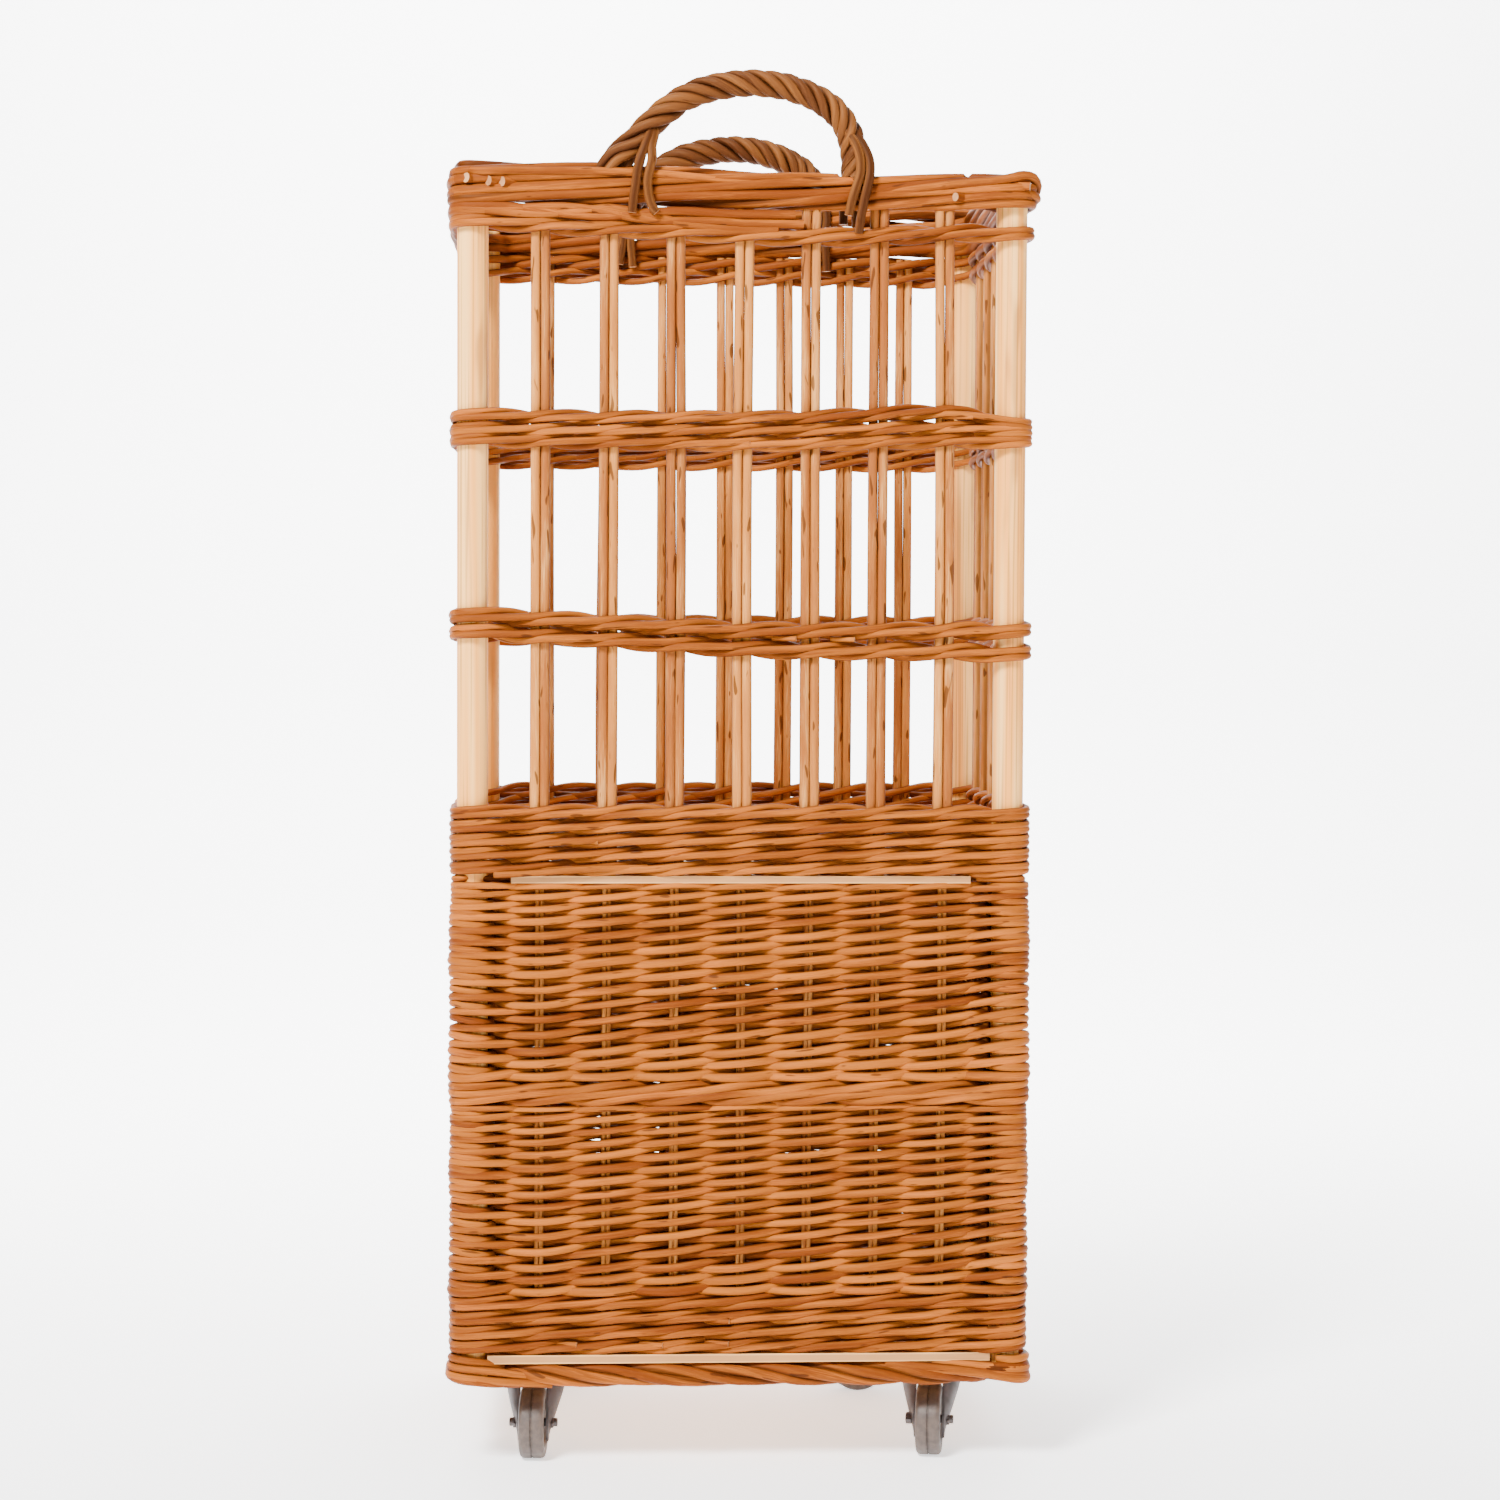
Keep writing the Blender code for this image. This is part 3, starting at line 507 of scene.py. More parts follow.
def border_shape(at):
    """Shift in metres and scale of the top border's height at a station.

    On the front it sinks to the right; at the rear it is taller, most at the right.
    """
    stops = ((0, 0.5, 1), (1, 0.3, 0.98), (2, -0.4, 0.96), (3, -1.4, 0.92), (4, -2.8, 0.88),
             (5, -3.6, 0.84), (6, -3.8, 0.82), (7, -3.2, 0.82), (8, -2.6, 0.84), (11, 0.5, 1),
             (13.5, 4.5, 1.27), (15, 5.2, 1.34), (17, 4.6, 1.3), (19, 2.4, 1.18), (22, 0.8, 1.08),
             (25, 0.5, 1), (28, 0.5, 1))
    at, table = np.asarray(at, float) % STATIONS, np.array(stops)
    return np.interp(at, table[:, 0], table[:, 1]) * MM, np.interp(at, table[:, 0], table[:, 2])


def lifted(stops, at):
    """How far a round lies above its level, in metres, at a station."""
    return np.interp(at % STATIONS, *np.array(stops).T) * MM


# Weaving
def weave_randing(bundle, low, high, s):
    """French randing between two levels: one rod from every station, climbing a row a station.

    Row m of a rod lies at low + mean (fall m + (1 - fall) m^2 / rows), so the rows grow closer
    upwards; the topmost ones are a quarter thicker. Even rows pass in front of a stake; odd rows
    pass behind it, and turn once right round a post. At the stakes the rods sag by dip rows.
    """
    rows, fall = STATIONS, s.fall
    mean = (high - low) / (rows + 1)
    stations = np.arange(STATIONS + 1)
    sag = np.array([0 if at % STATIONS in POST_AT else s.dip for at in stations], float)
    for start in range(-STATIONS, 0):
        size = bundle.rng.normal(1, 0.05)
        knots_noise = bundle.rng.normal(0, 1, 3 * STATIONS)

        def row(at):
            m = np.clip(at - start, 0, rows)
            ease = np.clip(m / 4, 0, 1) * np.clip((rows - m) / 9, 0, 1)
            return m + np.interp(at % STATIONS, stations, sag) * ease

        def height(at):
            m = row(at)
            uneven = np.interp(at - start + 2, np.arange(3 * STATIONS), knots_noise) * 0.07 * mean
            return low + mean * (0.5 * fall + fall * m + (1 - fall) * m ** 2 / rows) + uneven

        def rod(at):
            m = np.clip(at - start, 0, rows)
            thicker = 1 + 0.25 * np.clip((m - rows + 16) / 3, 0, 1)
            return size * mean * (fall + 2 * (1 - fall) * m / rows) / 2 * s.fill * thicker

        def passes(station):
            if (station - start) % 2 == 0:
                return 1
            return 0 if station % STATIONS in POST_AT else -1

        line = spline(weaver(start - 1, start + rows + 1, passes, rod, THIN_STAKE, height), WEAVE_STEP)
        line[:, :2] += bundle.rng.normal(0, 0.12 * MM, 2)
        bundle.rod(line, rod(line[:, 3]))


def weave_wale(bundle, low, high, strands, rounds, stake, fill=1.1, lifts=None, mood=0.42):
    """Rounds of waling: each strand passes in front of all stations but one, then behind it.

    A strand's level is the round's middle less a share of (sin a + 0.35 sin 2a), a turning once
    from one pass behind to the next: it comes out low, climbs and goes in high. Each round may
    lie off its level by its own table of stations and millimetres.
    """
    step = (high - low) / rounds
    rods = math.gcd(strands, STATIONS)
    period = STATIONS * strands // rods
    shown = strands - 1
    share = {3: 0.32, 4: 0.29}[strands] * fill
    for number in range(rounds):
        shift = bundle.rng.integers(strands)
        for k in range(rods):
            phases = bundle.rng.uniform(0, math.tau, 8)

            def uneven(at, which, size):
                turn = math.tau * at / period
                waves = (3, 7, 12, 19)
                return size * sum(np.sin(w * turn + phases[(i + which) % 8]) for i, w in enumerate(waves))

            def height(at):
                turn = math.tau * (at - k - shift) / strands
                level = 0.5 - share * (np.sin(turn) + 0.35 * np.sin(2 * turn))
                level = low + step * (number + level) + uneven(at, 0, 0.12 * MM)
                return level + (lifted(lifts[number], at) if lifts else 0)

            def rod(at):
                return step / shown / 2 * fill * (1 + uneven(at, 3, 0.02))

            def passes(station):
                return -1 if (station - k - shift) % strands == 0 else 1

            line = spline(weaver(-1, period + 1, passes, rod, stake, height), WEAVE_STEP)
            line = line[(line[:, 3] >= 0) & (line[:, 3] < period)]
            line[:, 2] = height(line[:, 3])
            tone = mood + uneven(line[:, 3], 5, 0.12)
            bundle.rod(line, rod(line[:, 3]), tone, closed=True)


def lay_round(bundle, low, high, strands, turns, radius, shape=None):
    """A rope of strands laid round the basket, turning slowly in its upright section.

    The section is a slot with round ends; a strand's place goes along it with the distance
    turns times the way round plus its own start, so the strands stay evenly beside each other.
    shape(station) gives the shift of the section in metres and the scale of its height.
    """
    centre_level = (low + high) / 2
    half = BORDER_HALF - radius
    straight = (high - low) / 2 - radius - half
    turn = np.linspace(0, math.tau, 97)
    slot = np.column_stack([half * np.cos(turn), half * np.sin(turn)])
    slot[:, 1] += straight * np.sign(np.round(np.sin(turn), 9))
    share = np.concatenate([[0], np.cumsum(np.linalg.norm(np.diff(slot, axis=0), axis=1))])
    share /= share[-1]
    for k in range(strands):
        phases = bundle.rng.uniform(0, math.tau, 6)

        def section(at):
            sway = sum(np.sin(math.tau * w * at / STATIONS + p) for w, p in zip((3, 5, 8), phases))
            place = (k / strands + turns * at / STATIONS + 0.012 * sway) % 1
            shift, scale = shape(at) if shape else (0, 1)
            up = np.interp(place, share, slot[:, 1]) * scale + shift
            return np.interp(place, share, slot[:, 0]), centre_level + up

        places, at = [], []
        for station in range(-1, STATIONS + 2):
            number = station % STATIONS
            if number in POST_AT:
                out, level = section(np.array([float(station)]))
                clear = POST_RADIUS + radius
                if out[0] >= 0 or level[0] > POST_TOP + radius:
                    angles, here = pass_post(station, 1)
                    reach = np.maximum(LINE_OUT + section(here)[0], 2 * MM)
                    if level[0] < POST_TOP + radius:
                        reach = np.maximum(reach, clear)
                else:
                    angles, here = pass_post(station, -1)
                    reach = np.full(3, clear)
                places.append(round_post(POST_AT[number], angles, reach))
            else:
                here = np.array([float(station)])
                side = STATION_SIDES[number]
                reach = LINE_OUT + section(here)[0]
                line = POSTS[side] + ALONG[side] * ((STATION_PLACES[number] - POSTS[side]) @ ALONG[side])
                places.append(line[None] + OUT[side] * reach)
            at.append(here)
        places, at = np.concatenate(places), np.concatenate(at)
        knots = np.column_stack([places, section(at)[1], at])
        line = spline(knots, 6 * MM)
        line = line[(line[:, 3] >= 0) & (line[:, 3] < STATIONS)]
        turn = math.tau * line[:, 3] / STATIONS
        size = radius * (1 + 0.05 * np.sin(5 * turn + phases[3]) + 0.04 * np.sin(9 * turn + phases[4]))
        if shape:
            size = size * (1 + shape(line[:, 3])[1]) / 2
        out, level = section(line[:, 3])
        rise = level - centre_level
        tangent = np.roll(line[:, :3], -1, 0) - np.roll(line[:, :3], 1, 0)
        away = np.cross(tangent, (0, 0, 1.0)) * (out / np.linalg.norm(tangent, axis=1))[:, None]
        away[:, 2] = rise - np.clip(rise, -straight, straight)
        bundle.rod(line, size, 0.08 + 0.2 * np.sin(2 * turn + phases[5]), closed=True, sides=10,
                   up=np.cross(tangent, away))


def beside(at, reach):
    """Points on the plan at stations (with fractions), out of the posts' line by reach; at a post
    the line goes round its centre, a quarter turn from a quarter station before it to one after."""
    at, marks = np.asarray(at, float), [*POST_AT, STATIONS]
    reach = np.broadcast_to(reach, at.shape)
    points = np.zeros(at.shape + (2,))
    for post, mark in enumerate(marks[:4]):
        here, count = (at - mark + 0.25) % STATIONS - 0.25, marks[post + 1] - mark
        corner, side = here < 0.25, (here >= 0.25) & (here < count - 0.25)
        points[corner] = round_post(post, here[corner] * 180, reach[corner])
        far = np.concatenate([STATION_PLACES[mark:mark + count], POSTS[(post + 1) % 4][None]]) - POSTS[post]
        stops = np.array([0.25, *range(1, count), count - 0.25])
        along = np.interp(here[side], stops, far @ ALONG[post])
        points[side] = POSTS[post] + along[:, None] * ALONG[post] + reach[side, None] * OUT[post]
    return points


def lay_rod(bundle, stops, radius, tone=None):
    """A single rod with cut ends from stops (station, reach in mm, level in mm)."""
    stops = np.array(stops, float)
    knots = np.column_stack([stops[:, 0] * PITCH, stops[:, 1:], stops[:, 0]]) * [MM, MM, MM, 1]
    line = spline(knots, 4 * MM)
    path = np.column_stack([beside(line[:, 3], line[:, 1]), line[:, 2]])
    bundle.rod(path, radius * MM, tone, sides=12)


def lay_corners(bundle, marks, rods, radius, tone=None):
    """The same short rods at each marked station, their stops counted from it."""
    for mark in marks:
        for stops in rods:
            lay_rod(bundle, [(mark + at, reach, level) for at, reach, level in stops], radius, tone)


def lay_shade_core(bundle, reach, level, radius, rise=0.0):
    """A rod hidden in a border, in the darkest tone as painted shade behind the gaps between its rods; from
    the front right post to station 24 it is higher by rise.
    """
    stops = [(at, reach, level + rise * (FRONT_RIGHT < at < 24))
             for at in np.arange(0, STATIONS + 0.5, 0.5)]
    # painted shade: tone 0, the darkest willow, where only shade shows between the border's rods
    lay_rod(bundle, stops, radius, 0)


def weave_filling(bundle, low, high):
    """The rods between rim wale and border, from the right side round to the front's middle.

    Each has the station (past a full lap) and the level in mm of its cut end.
    """
    first, last = FRONT_RIGHT + 1, STATIONS + 4
    for k, (end, level) in enumerate(((4.98, 861.5), (4.6, 857.0), (4.78, 868.0))):

        def height(at):
            share = 0.54 + 0.36 * np.sin(math.tau * (at - k) / 3 + math.pi)
            bottom = low + lifted(LIFTS["rim_wale"][0], at)
            height = bottom + (high - bottom) * share
            blend = np.clip((at - STATIONS - 2) / 2, 0, 1)
            return height + (level * MM - height) * blend

        def rod(at):
            return np.interp(at, (first, STATIONS - 1, STATIONS + 1, last), (3.3, 3.1, 3.1, 3.4)) * MM

        def passes(station):
            return 1 if station > STATIONS - 2 or (station - k) % 3 else -1

        line = spline(weaver(first, last + 1, passes, rod, THICK_STAKE, height), WEAVE_STEP)
        line = line[(line[:, 3] >= first + 0.35 * k) & (line[:, 3] <= STATIONS + end)]
        line[:, 2] = height(line[:, 3])
        bundle.rod(line, rod(line[:, 3]), sides=10)


# Handles and stakes
ARCH = (  # line of a handle in shares of its half span and of its rise
    (-1.13, -0.14), (-1.07, 0.04), (-0.93, 0.24), (-0.765, 0.52), (-0.465, 0.86), (-0.22, 0.97),
    (0.02, 1.0), (0.28, 0.95), (0.48, 0.84), (0.633, 0.68), (0.746, 0.438), (0.79, 0.17),
    (0.797, -0.05), (0.79, -0.2),
)
TAILS = (  # stops in mm: right of the arch's middle, out of its plane and over the border
    ((-68, 1, 24), (-71, 6, 16), (-74, 9.5, 8), (-77.4, 11, -1), (-78.9, 11.6, -9), (-79.9, 11.8, -17),
     (-81.2, 11.6, -25), (-82.4, 11, -36)),
    ((-66, 0, 24), (-67.5, 5, 16), (-69, 9, 8.5), (-68.6, 11, 1.5), (-70.3, 11.6, -6.4),
     (-71.7, 11.7, -13.6), (-71.5, 11.7, -20.2), (-70.3, 11.6, -26.8), (-68.2, 11.4, -32.4),
     (-65.4, 11.4, -35.6)),
    ((60, 1, 30), (66, 5, 20), (71.3, 9.4, 10.6), (73.9, 11, 0), (73.7, 11.6, -8), (70.6, 11.8, -18),
     (67.4, 11.6, -29), (66, 11, -36.5)),
    ((64, 0, 30), (71, 3, 20), (77.6, 7.5, 8.5), (80.1, 9.5, 1.4), (80.4, 11.2, -8), (78.4, 11.7, -18),
     (75.8, 11.6, -29), (73.6, 11, -42), (72.8, 9, -48)),
    ((-68, -2, 24), (-74, -7, 12), (-77, -10.6, 0), (-79, -11.4, -10), (-78, -11.5, -40)),
    ((-70, -2, 20), (-80, -8, 8), (-86, -10.8, -4), (-85, -11.4, -14), (-88, -11.6, -38)),
    ((-74, 0, 18), (-80, 1, 8), (-85, 1, -2), (-87, 0, -10)),
    ((61, -2, 26), (66, -7, 14), (67, -10.6, 2), (65, -11.4, -10), (64, -11.6, -40)),
    ((64, -2, 22), (71, -8, 10), (73, -10.8, -2), (72, -11.4, -12), (73, -11.5, -42)),
)


def twist_handle(bundle, low, high, border, way, s):
    """A rope of strands along the arch and the rods that come out of it and pass over the border.

    Strand k lies round the arch at the rope's radius times cos a to the front and sin a down, with
    a = 2 pi (k / strands + turns t^1.3) on the way t from the left foot to the right one. The
    rear handle (way 1) is the heavier.
    """
    heavy = 1 if way < 0 else 1.12
    outer = (s.rope + s.strand) * heavy
    centre, base = (low[0] + high[0]) / 2, border[1][2]
    half, rise = (high[0] - low[0]) / 2 - outer, high[2] - outer - base
    plane = way * (abs(low[1]) + abs(high[1])) / 2
    knots = np.array([(centre + half * u, plane, base + rise * w) for u, w in ARCH])
    arch = spline(knots, 3 * MM)
    steps = np.linalg.norm(np.diff(arch, axis=0), axis=1)
    t = np.concatenate([[0], np.cumsum(steps)]) / steps.sum()
    tangent = np.gradient(arch, axis=0)
    tangent /= np.linalg.norm(tangent, axis=1)[:, None]
    front = np.array([0, -1, 0], float)
    down = np.cross(tangent, front)
    strands = 5
    for k in range(strands):
        turn = math.tau * (k / strands + s.turns * t ** 1.3)
        turn = turn + 0.12 * np.sin(math.tau * (2 * t + bundle.rng.uniform()))
        swell = 1 + 0.05 * np.sin(math.tau * 3 * t + k)
        radius = heavy * s.strand * bundle.rng.uniform(0.92, 1.06) * swell
        reach = heavy * s.rope * (1 + 0.05 * np.sin(math.tau * (2.3 * t + 0.17 * k)))
        away = np.cos(turn)[:, None] * front + np.sin(turn)[:, None] * down
        bundle.rod(arch + reach[:, None] * away, radius, up=np.cross(tangent, away), sides=12)
    bundle.rod(arch, heavy * s.rope - 3 * MM, up=(0, 1, 0), sides=8)
    for steps in TAILS:
        knots = np.array(steps, float) * MM
        knots[:, 0] += centre
        knots[:, 1] = plane + way * knots[:, 1]
        knots[:, 2] += base
        line = spline(knots, 3 * MM)
        bundle.rod(line, s.tail * np.linspace(1.0, 0.9, len(line)), up=(0, 1, 0), sides=12)


def stand_pair(bundle, node, side, s):
    """Two rods side by side: thin ones up to the waist board, thick ones from it to the rim."""
    low, high = span(node)
    centre = (low + high) / 2
    waist = span("waist_board")[1][2]
    for radius, start, end in ((THIN_STAKE, low[2], waist), (THICK_STAKE, waist, high[2])):
        t = np.linspace(0, 1, max(6, int((end - start) / (14 * MM))))
        lean = bundle.rng.normal(0, s.lean * 0.6)
        bow, phase = bundle.rng.normal(0, s.lean * 0.6), bundle.rng.uniform(0, math.pi)
        for way in (-1, 1):
            own = bundle.rng.normal(0, s.lean * 0.14, 2)
            path = np.zeros((len(t), 3))
            sway = lean * t + bow * np.sin(math.pi * 1.5 * t + phase) + own[0] * np.sin(math.pi * 2.5 * t)
            across = way * radius + sway * (radius / THICK_STAKE)
            path[:, :2] = centre[:2] + across[:, None] * ALONG[side]
            path[:, :2] += (own[1] * np.sin(math.pi * 2 * t + phase))[:, None] * OUT[side] * 0.4
            path[:, 2] = start + (end - start) * t
            bundle.rod(path, radius * (1.08 - s.taper * t), up=(*ALONG[side], 0), sides=12)


# Casters
class CasterFrame:
    """A caster's own axes: across its wheel, back from it, and up; the swivel is at the origin."""

    def __init__(self, place):
        joints = {joint["name"]: joint for joint in frame["joints"]}
        swivel, spin = joints[f"{place}_swivel"], joints[f"{place}_spin"]
        self.origin = np.array([*swivel["pos_m"][:2], 0.0])
        self.across = np.array(spin["axis"], float)
        self.back = np.cross([0, 0, 1.0], self.across)
        self.hub = (np.array(spin["pos_m"]) - self.origin) @ self.axes().T

    def axes(self):
        return np.array([self.across, self.back, [0, 0, 1.0]])

    def put(self, points):
        return self.origin + np.asarray(points) @ self.axes()

    def on_axle(self, rings):
        """Turned rings laid over onto the axle: (x, y, z) becomes (z, x, y) at the hub."""
        return self.put(rings[..., [2, 0, 1]] + self.hub)


def build_piece(place, part, node, body, shells, looks=("steel",), crease=35, **options):
    """A caster's piece from its shells, each a row of closed rings."""
    piece = Bundle()
    for rings in shells:
        piece.add(rings, **options)
    piece.build(f"{place}_{part}", looks, body, [f"{place}_caster_{node}"], crease)


def wheel_profile(r, h):
    """Closed section in mm of a wheel with a rounded tread, a line round it and dished sides."""
    side = [(3.3, h - 1.2), (8.5, h - 1.2), (9.2, h - 2.2), (16.5, h - 2.2), (18.0, h - 0.4), (19.0, h),
            (r - 2.6, h), (r - 1.2, h - 0.5), (r - 0.35, h - 1.5), (r, h - 3.2), (r, 2.0), (r, 0.55),
            (r - 0.5, 0.3)]
    return [(a, -b) for a, b in reversed(side)] + side


def fork_rings():
    """Sections of the pressed fork from one leg's tip over the crown to the other leg's tip.

    Each row: half width, level, front edge, back edge, how far the front edge curls in, and the
    way the sheet's outer face looks (x, z).
    """
    rows = ((10.8, 11.5, -28.5, -24.0, 0, 1, 0), (10.9, 14.0, -31.0, -21.0, 0.1, 1, 0),
            (11.8, 18.0, -32.5, -18.5, 0.9, 1, -0.15), (13.2, 22.5, -33.0, -16.0, 2.2, 1, -0.3),
            (14.6, 27.0, -32.5, -13.0, 3.6, 1, -0.3), (16.2, 32.0, -31.2, -9.0, 5.2, 1, -0.3),
            (18.0, 37.5, -29.2, -4.0, 7.0, 1, -0.3), (19.7, 43.0, -27.0, 1.0, 8.8, 1, -0.3),
            (21.3, 50.0, -24.5, 6.0, 10.3, 1, -0.1), (21.4, 57.0, -22.0, 10.0, 10.4, 1, 0),
            (20.8, 62.5, -20.0, 13.0, 8.8, 1, 0.2), (19.4, 66.4, -18.0, 14.5, 5.0, 0.7, 0.7),
            (16.5, 68.0, -16.5, 15.2, 2.0, 0, 1), (10.0, 68.2, -18.5, 18.0, 0, 0, 1))
    half = np.array(rows, float)
    other = half[::-1].copy()
    other[:, [0, 5]] *= -1
    table = np.concatenate([half, other])
    sheet = 1.8
    s = np.linspace(-1, 1, 9)
    rings = []
    for width, level, front, back, curl, nx, nz in table:
        way = np.sign(width)
        y = front + (back - front) * (s + 1) / 2
        x = width - way * curl * np.maximum(-s, 0) ** 2 - way * 0.25 * curl * np.maximum(s, 0) ** 2
        outer = np.stack([x, y, np.full(9, level)], -1)
        size = math.hypot(nx, nz)
        inner = outer - sheet * np.array([nx, 0, nz]) / size
        rings.append(np.concatenate([outer, inner[::-1]]))
    return np.array(rings) * MM


# Settings
def length(name, description, millimetres):
    """A length of a settings group, given in millimetres."""
    return bpy.props.FloatProperty(name=name, description=description, default=millimetres * MM,
                                   unit="LENGTH", subtype="DISTANCE", precision=5)


def ratio(name, description, value):
    """A plain ratio of a settings group."""
    return bpy.props.FloatProperty(name=name, description=description, default=value, subtype="FACTOR")


def bearing(name, description, degrees):
    """An angle of a settings group, given in degrees."""
    return bpy.props.FloatProperty(name=name, description=description, default=math.radians(degrees),
                                   unit="ROTATION", subtype="ANGLE")


class RandingSettings(bpy.types.PropertyGroup):
    fall: ratio("Lowest row", "Height of the lowest row over the mean of its zone", 1.285)
    fill: ratio("Fill", "Thickness of a rod over the height of its row", 1.1)
    dip: ratio("Sag at stakes", "Rows by which the rods lie lower at the stakes than at the posts", -1.1)
    middle_low: length("Middle wale's foot", "Level where the middle wale starts", 254.1)
    middle_high: length("Middle wale's top", "Level where the middle wale ends", 271.1)


class BorderSettings(bpy.types.PropertyGroup):
    top_rod: length("Top rod", "Radius of the rods of the top border", 3.65)
    foot_rod: length("Foot rod", "Radius of the rods of the foot border", 4.0)
    top_turns: ratio("Top lay", "Turns of the top border's rods in one lap", 2.0)
    foot_turns: ratio("Foot lay", "Turns of the foot border's rods in one lap", -8.0)


class HandleSettings(bpy.types.PropertyGroup):
    strand: length("Strand", "Radius of a strand of the rope", 3.5)
    rope: length("Rope", "Radius on which the strands lie", 6.0)
    turns: ratio("Twist", "Turns of the rope from foot to foot", 3.6)
    tail: length("Tail", "Radius of the rods that pass down over the border", 3.4)


class StakeSettings(bpy.types.PropertyGroup):
    lean: length("Lean", "How far the rods wander from upright", 0.8)
    taper: ratio("Taper", "Share of its thickness that a rod loses towards its tip", 0.1)


class StageSettings(bpy.types.PropertyGroup):
    lens: bpy.props.FloatProperty(name="Lens", description="Focal length of the camera in millimetres",
                                  default=75.7, unit="CAMERA")
    eye: bpy.props.FloatVectorProperty(name="Eye", description="Place of the camera", size=3,
                                       default=(-0.105, -2.325, 0.589), unit="LENGTH", subtype="XYZ")
    yaw: bearing("Yaw", "Turn of the camera towards +X", 2.91)
    pitch: bearing("Pitch", "Tilt of the camera, down is negative", -2.32)
    roll: bearing("Roll", "Lean of the camera to its right", 0.25)


# Operators, one for each group of pieces
class BasketOperator:
    """What the basket's operators share: each makes its pieces from its settings, if it has any."""

    bl_options = {"REGISTER", "UNDO"}
    settings = None

    def execute(self, context):
        self.make_pieces(getattr(context.scene, self.settings) if self.settings else None)
        return {"FINISHED"}


class BASKET_OT_randing(BasketOperator, bpy.types.Operator):
    """Weave the closed wall: two zones of French randing with a four-rod wale between them"""

    bl_idname = "basket.randing"
    bl_label = "Closed wall"
    settings = "basket_randing"

    def make_pieces(self, s):
        low, high = span("wall_weave")
        for seed, name, bottom, top in ((13, "lower_randing", low[2], s.middle_low),
                                        (14, "upper_randing", s.middle_high, high[2])):
            zone = Bundle(seed)
            weave_randing(zone, bottom, top, s)
            zone.weave(name, "wall_weave")
        wale = Bundle(3)
        weave_wale(wale, s.middle_low, s.middle_high, 4, 1, THIN_STAKE)
        wale.weave("middle_wale", "wall_weave")


class BASKET_OT_bands(BasketOperator, bpy.types.Operator):
    """Weave the three-rod wales: bottom, waist, the two open bands and the rim"""

    bl_idname = "basket.bands"
    bl_label = "Wales and bands"

    def make_pieces(self, s):
        for seed, (node, rounds, stake, fill, mood) in enumerate(BANDS):
            low, high = span(node)
            band = Bundle(20 + seed)
            weave_wale(band, low[2], high[2], 3, rounds, stake, fill, LIFTS.get(node), mood)
            if node == "waist_band":
                lay_rod(band, WAIST_START, 2.3, 0.6)
                lay_corners(band, POST_AT, WAIST_CORNER, 2.2, 0.4)
            if node == "rim_wale":
                weave_filling(band, high[2], span("top_border")[0][2])
            for at, level in CUT_ENDS.get(node, ()):
                lay_rod(band, ((at - 0.34, 9, level), (at - 0.14, 13, level), (at, 15, level)), 2.0)
            band.weave(f"{node}_rods", node)


class BASKET_OT_borders(BasketOperator, bpy.types.Operator):
    """Lay the rods of the top border and of the foot border"""

    bl_idname = "basket.borders"
    bl_label = "Borders"
    settings = "basket_borders"

    def make_pieces(self, s):
        low, high = span("top_border")
        border = Bundle(40)
        lay_round(border, low[2], high[2], 8, s.top_turns, s.top_rod, border_shape)
        for stops, size in BORDER_RODS:
            lay_rod(border, stops, size, 0.2)
        lay_shade_core(border, reach=8.4, level=891, radius=3.4, rise=2.5)
        border.weave("top_border_rods", "top_border")

        low, high = span("foot_border")
        border = Bundle(41)
        lay_round(border, low[2], high[2], 4, s.foot_turns, s.foot_rod)
        lay_corners(border, sorted(set(POST_AT) - {FRONT_RIGHT}), FOOT_CORNER, 2.9)
        for stops, size, tone in FOOT_END:
            lay_rod(border, stops, size, tone)
        lay_shade_core(border, reach=4, level=72.2, radius=2.2)
        border.weave("foot_border_rods", "foot_border")


class BASKET_OT_handles(BasketOperator, bpy.types.Operator):
    """Twist the two rope handles and bend their tails down over the top border"""

    bl_idname = "basket.handles"
    bl_label = "Handles"
    settings = "basket_handles"

    def make_pieces(self, s):
        border = span("top_border")
        for seed, (node, way) in enumerate((("front_handle", -1), ("rear_handle", 1))):
            low, high = span(node)
            handle = Bundle(50 + seed)
            twist_handle(handle, low, high, border, way, s)
            handle.build(f"{node}_rods", ("handles", "cut_willow"), "basket", [node])


class BASKET_OT_stakes(BasketOperator, bpy.types.Operator):
    """Stand the pairs of upright rods along the four sides"""

    bl_idname = "basket.stakes"
    bl_label = "Stakes"
    settings = "basket_stakes"

    def make_pieces(self, s):
        for side, name in enumerate(SIDE_NAMES):
            stakes = Bundle(60 + side)
            nodes = [f"{name}_stakes_{number}" for number in STAKE_ORDER[name]]
            for node in nodes:
                stand_pair(stakes, node, side, s)
            stakes.build(f"{name}_stake_rods", ("stakes", "cut_willow"), "basket", nodes)


class BASKET_OT_frame(BasketOperator, bpy.types.Operator):
    """Turn the four posts and finish the two boards"""

    bl_idname = "basket.frame"
    bl_label = "Posts and boards"

    def make_pieces(self, s):
        for name, centre in zip(POST_NAMES, POSTS):
            low, high = (corner[2] for corner in span(name))
            edge = 0.8 * MM
            profile = ((POST_RADIUS - edge, low), (POST_RADIUS, low + edge), (POST_RADIUS, high - edge),
                       (POST_RADIUS - edge, high))
            post = Bundle()
            post.add(turned(profile, unit=1) + [*centre, 0])
            post.build(f"{name}_dowel", ["pine"], "basket", [name], 30)
        for name, look in (("base_board", "base_ply"), ("waist_board", "waist_ply")):
            board = frame["nodes"][name]
            board.data.materials.clear()
            board.data.materials.append(finish(look))


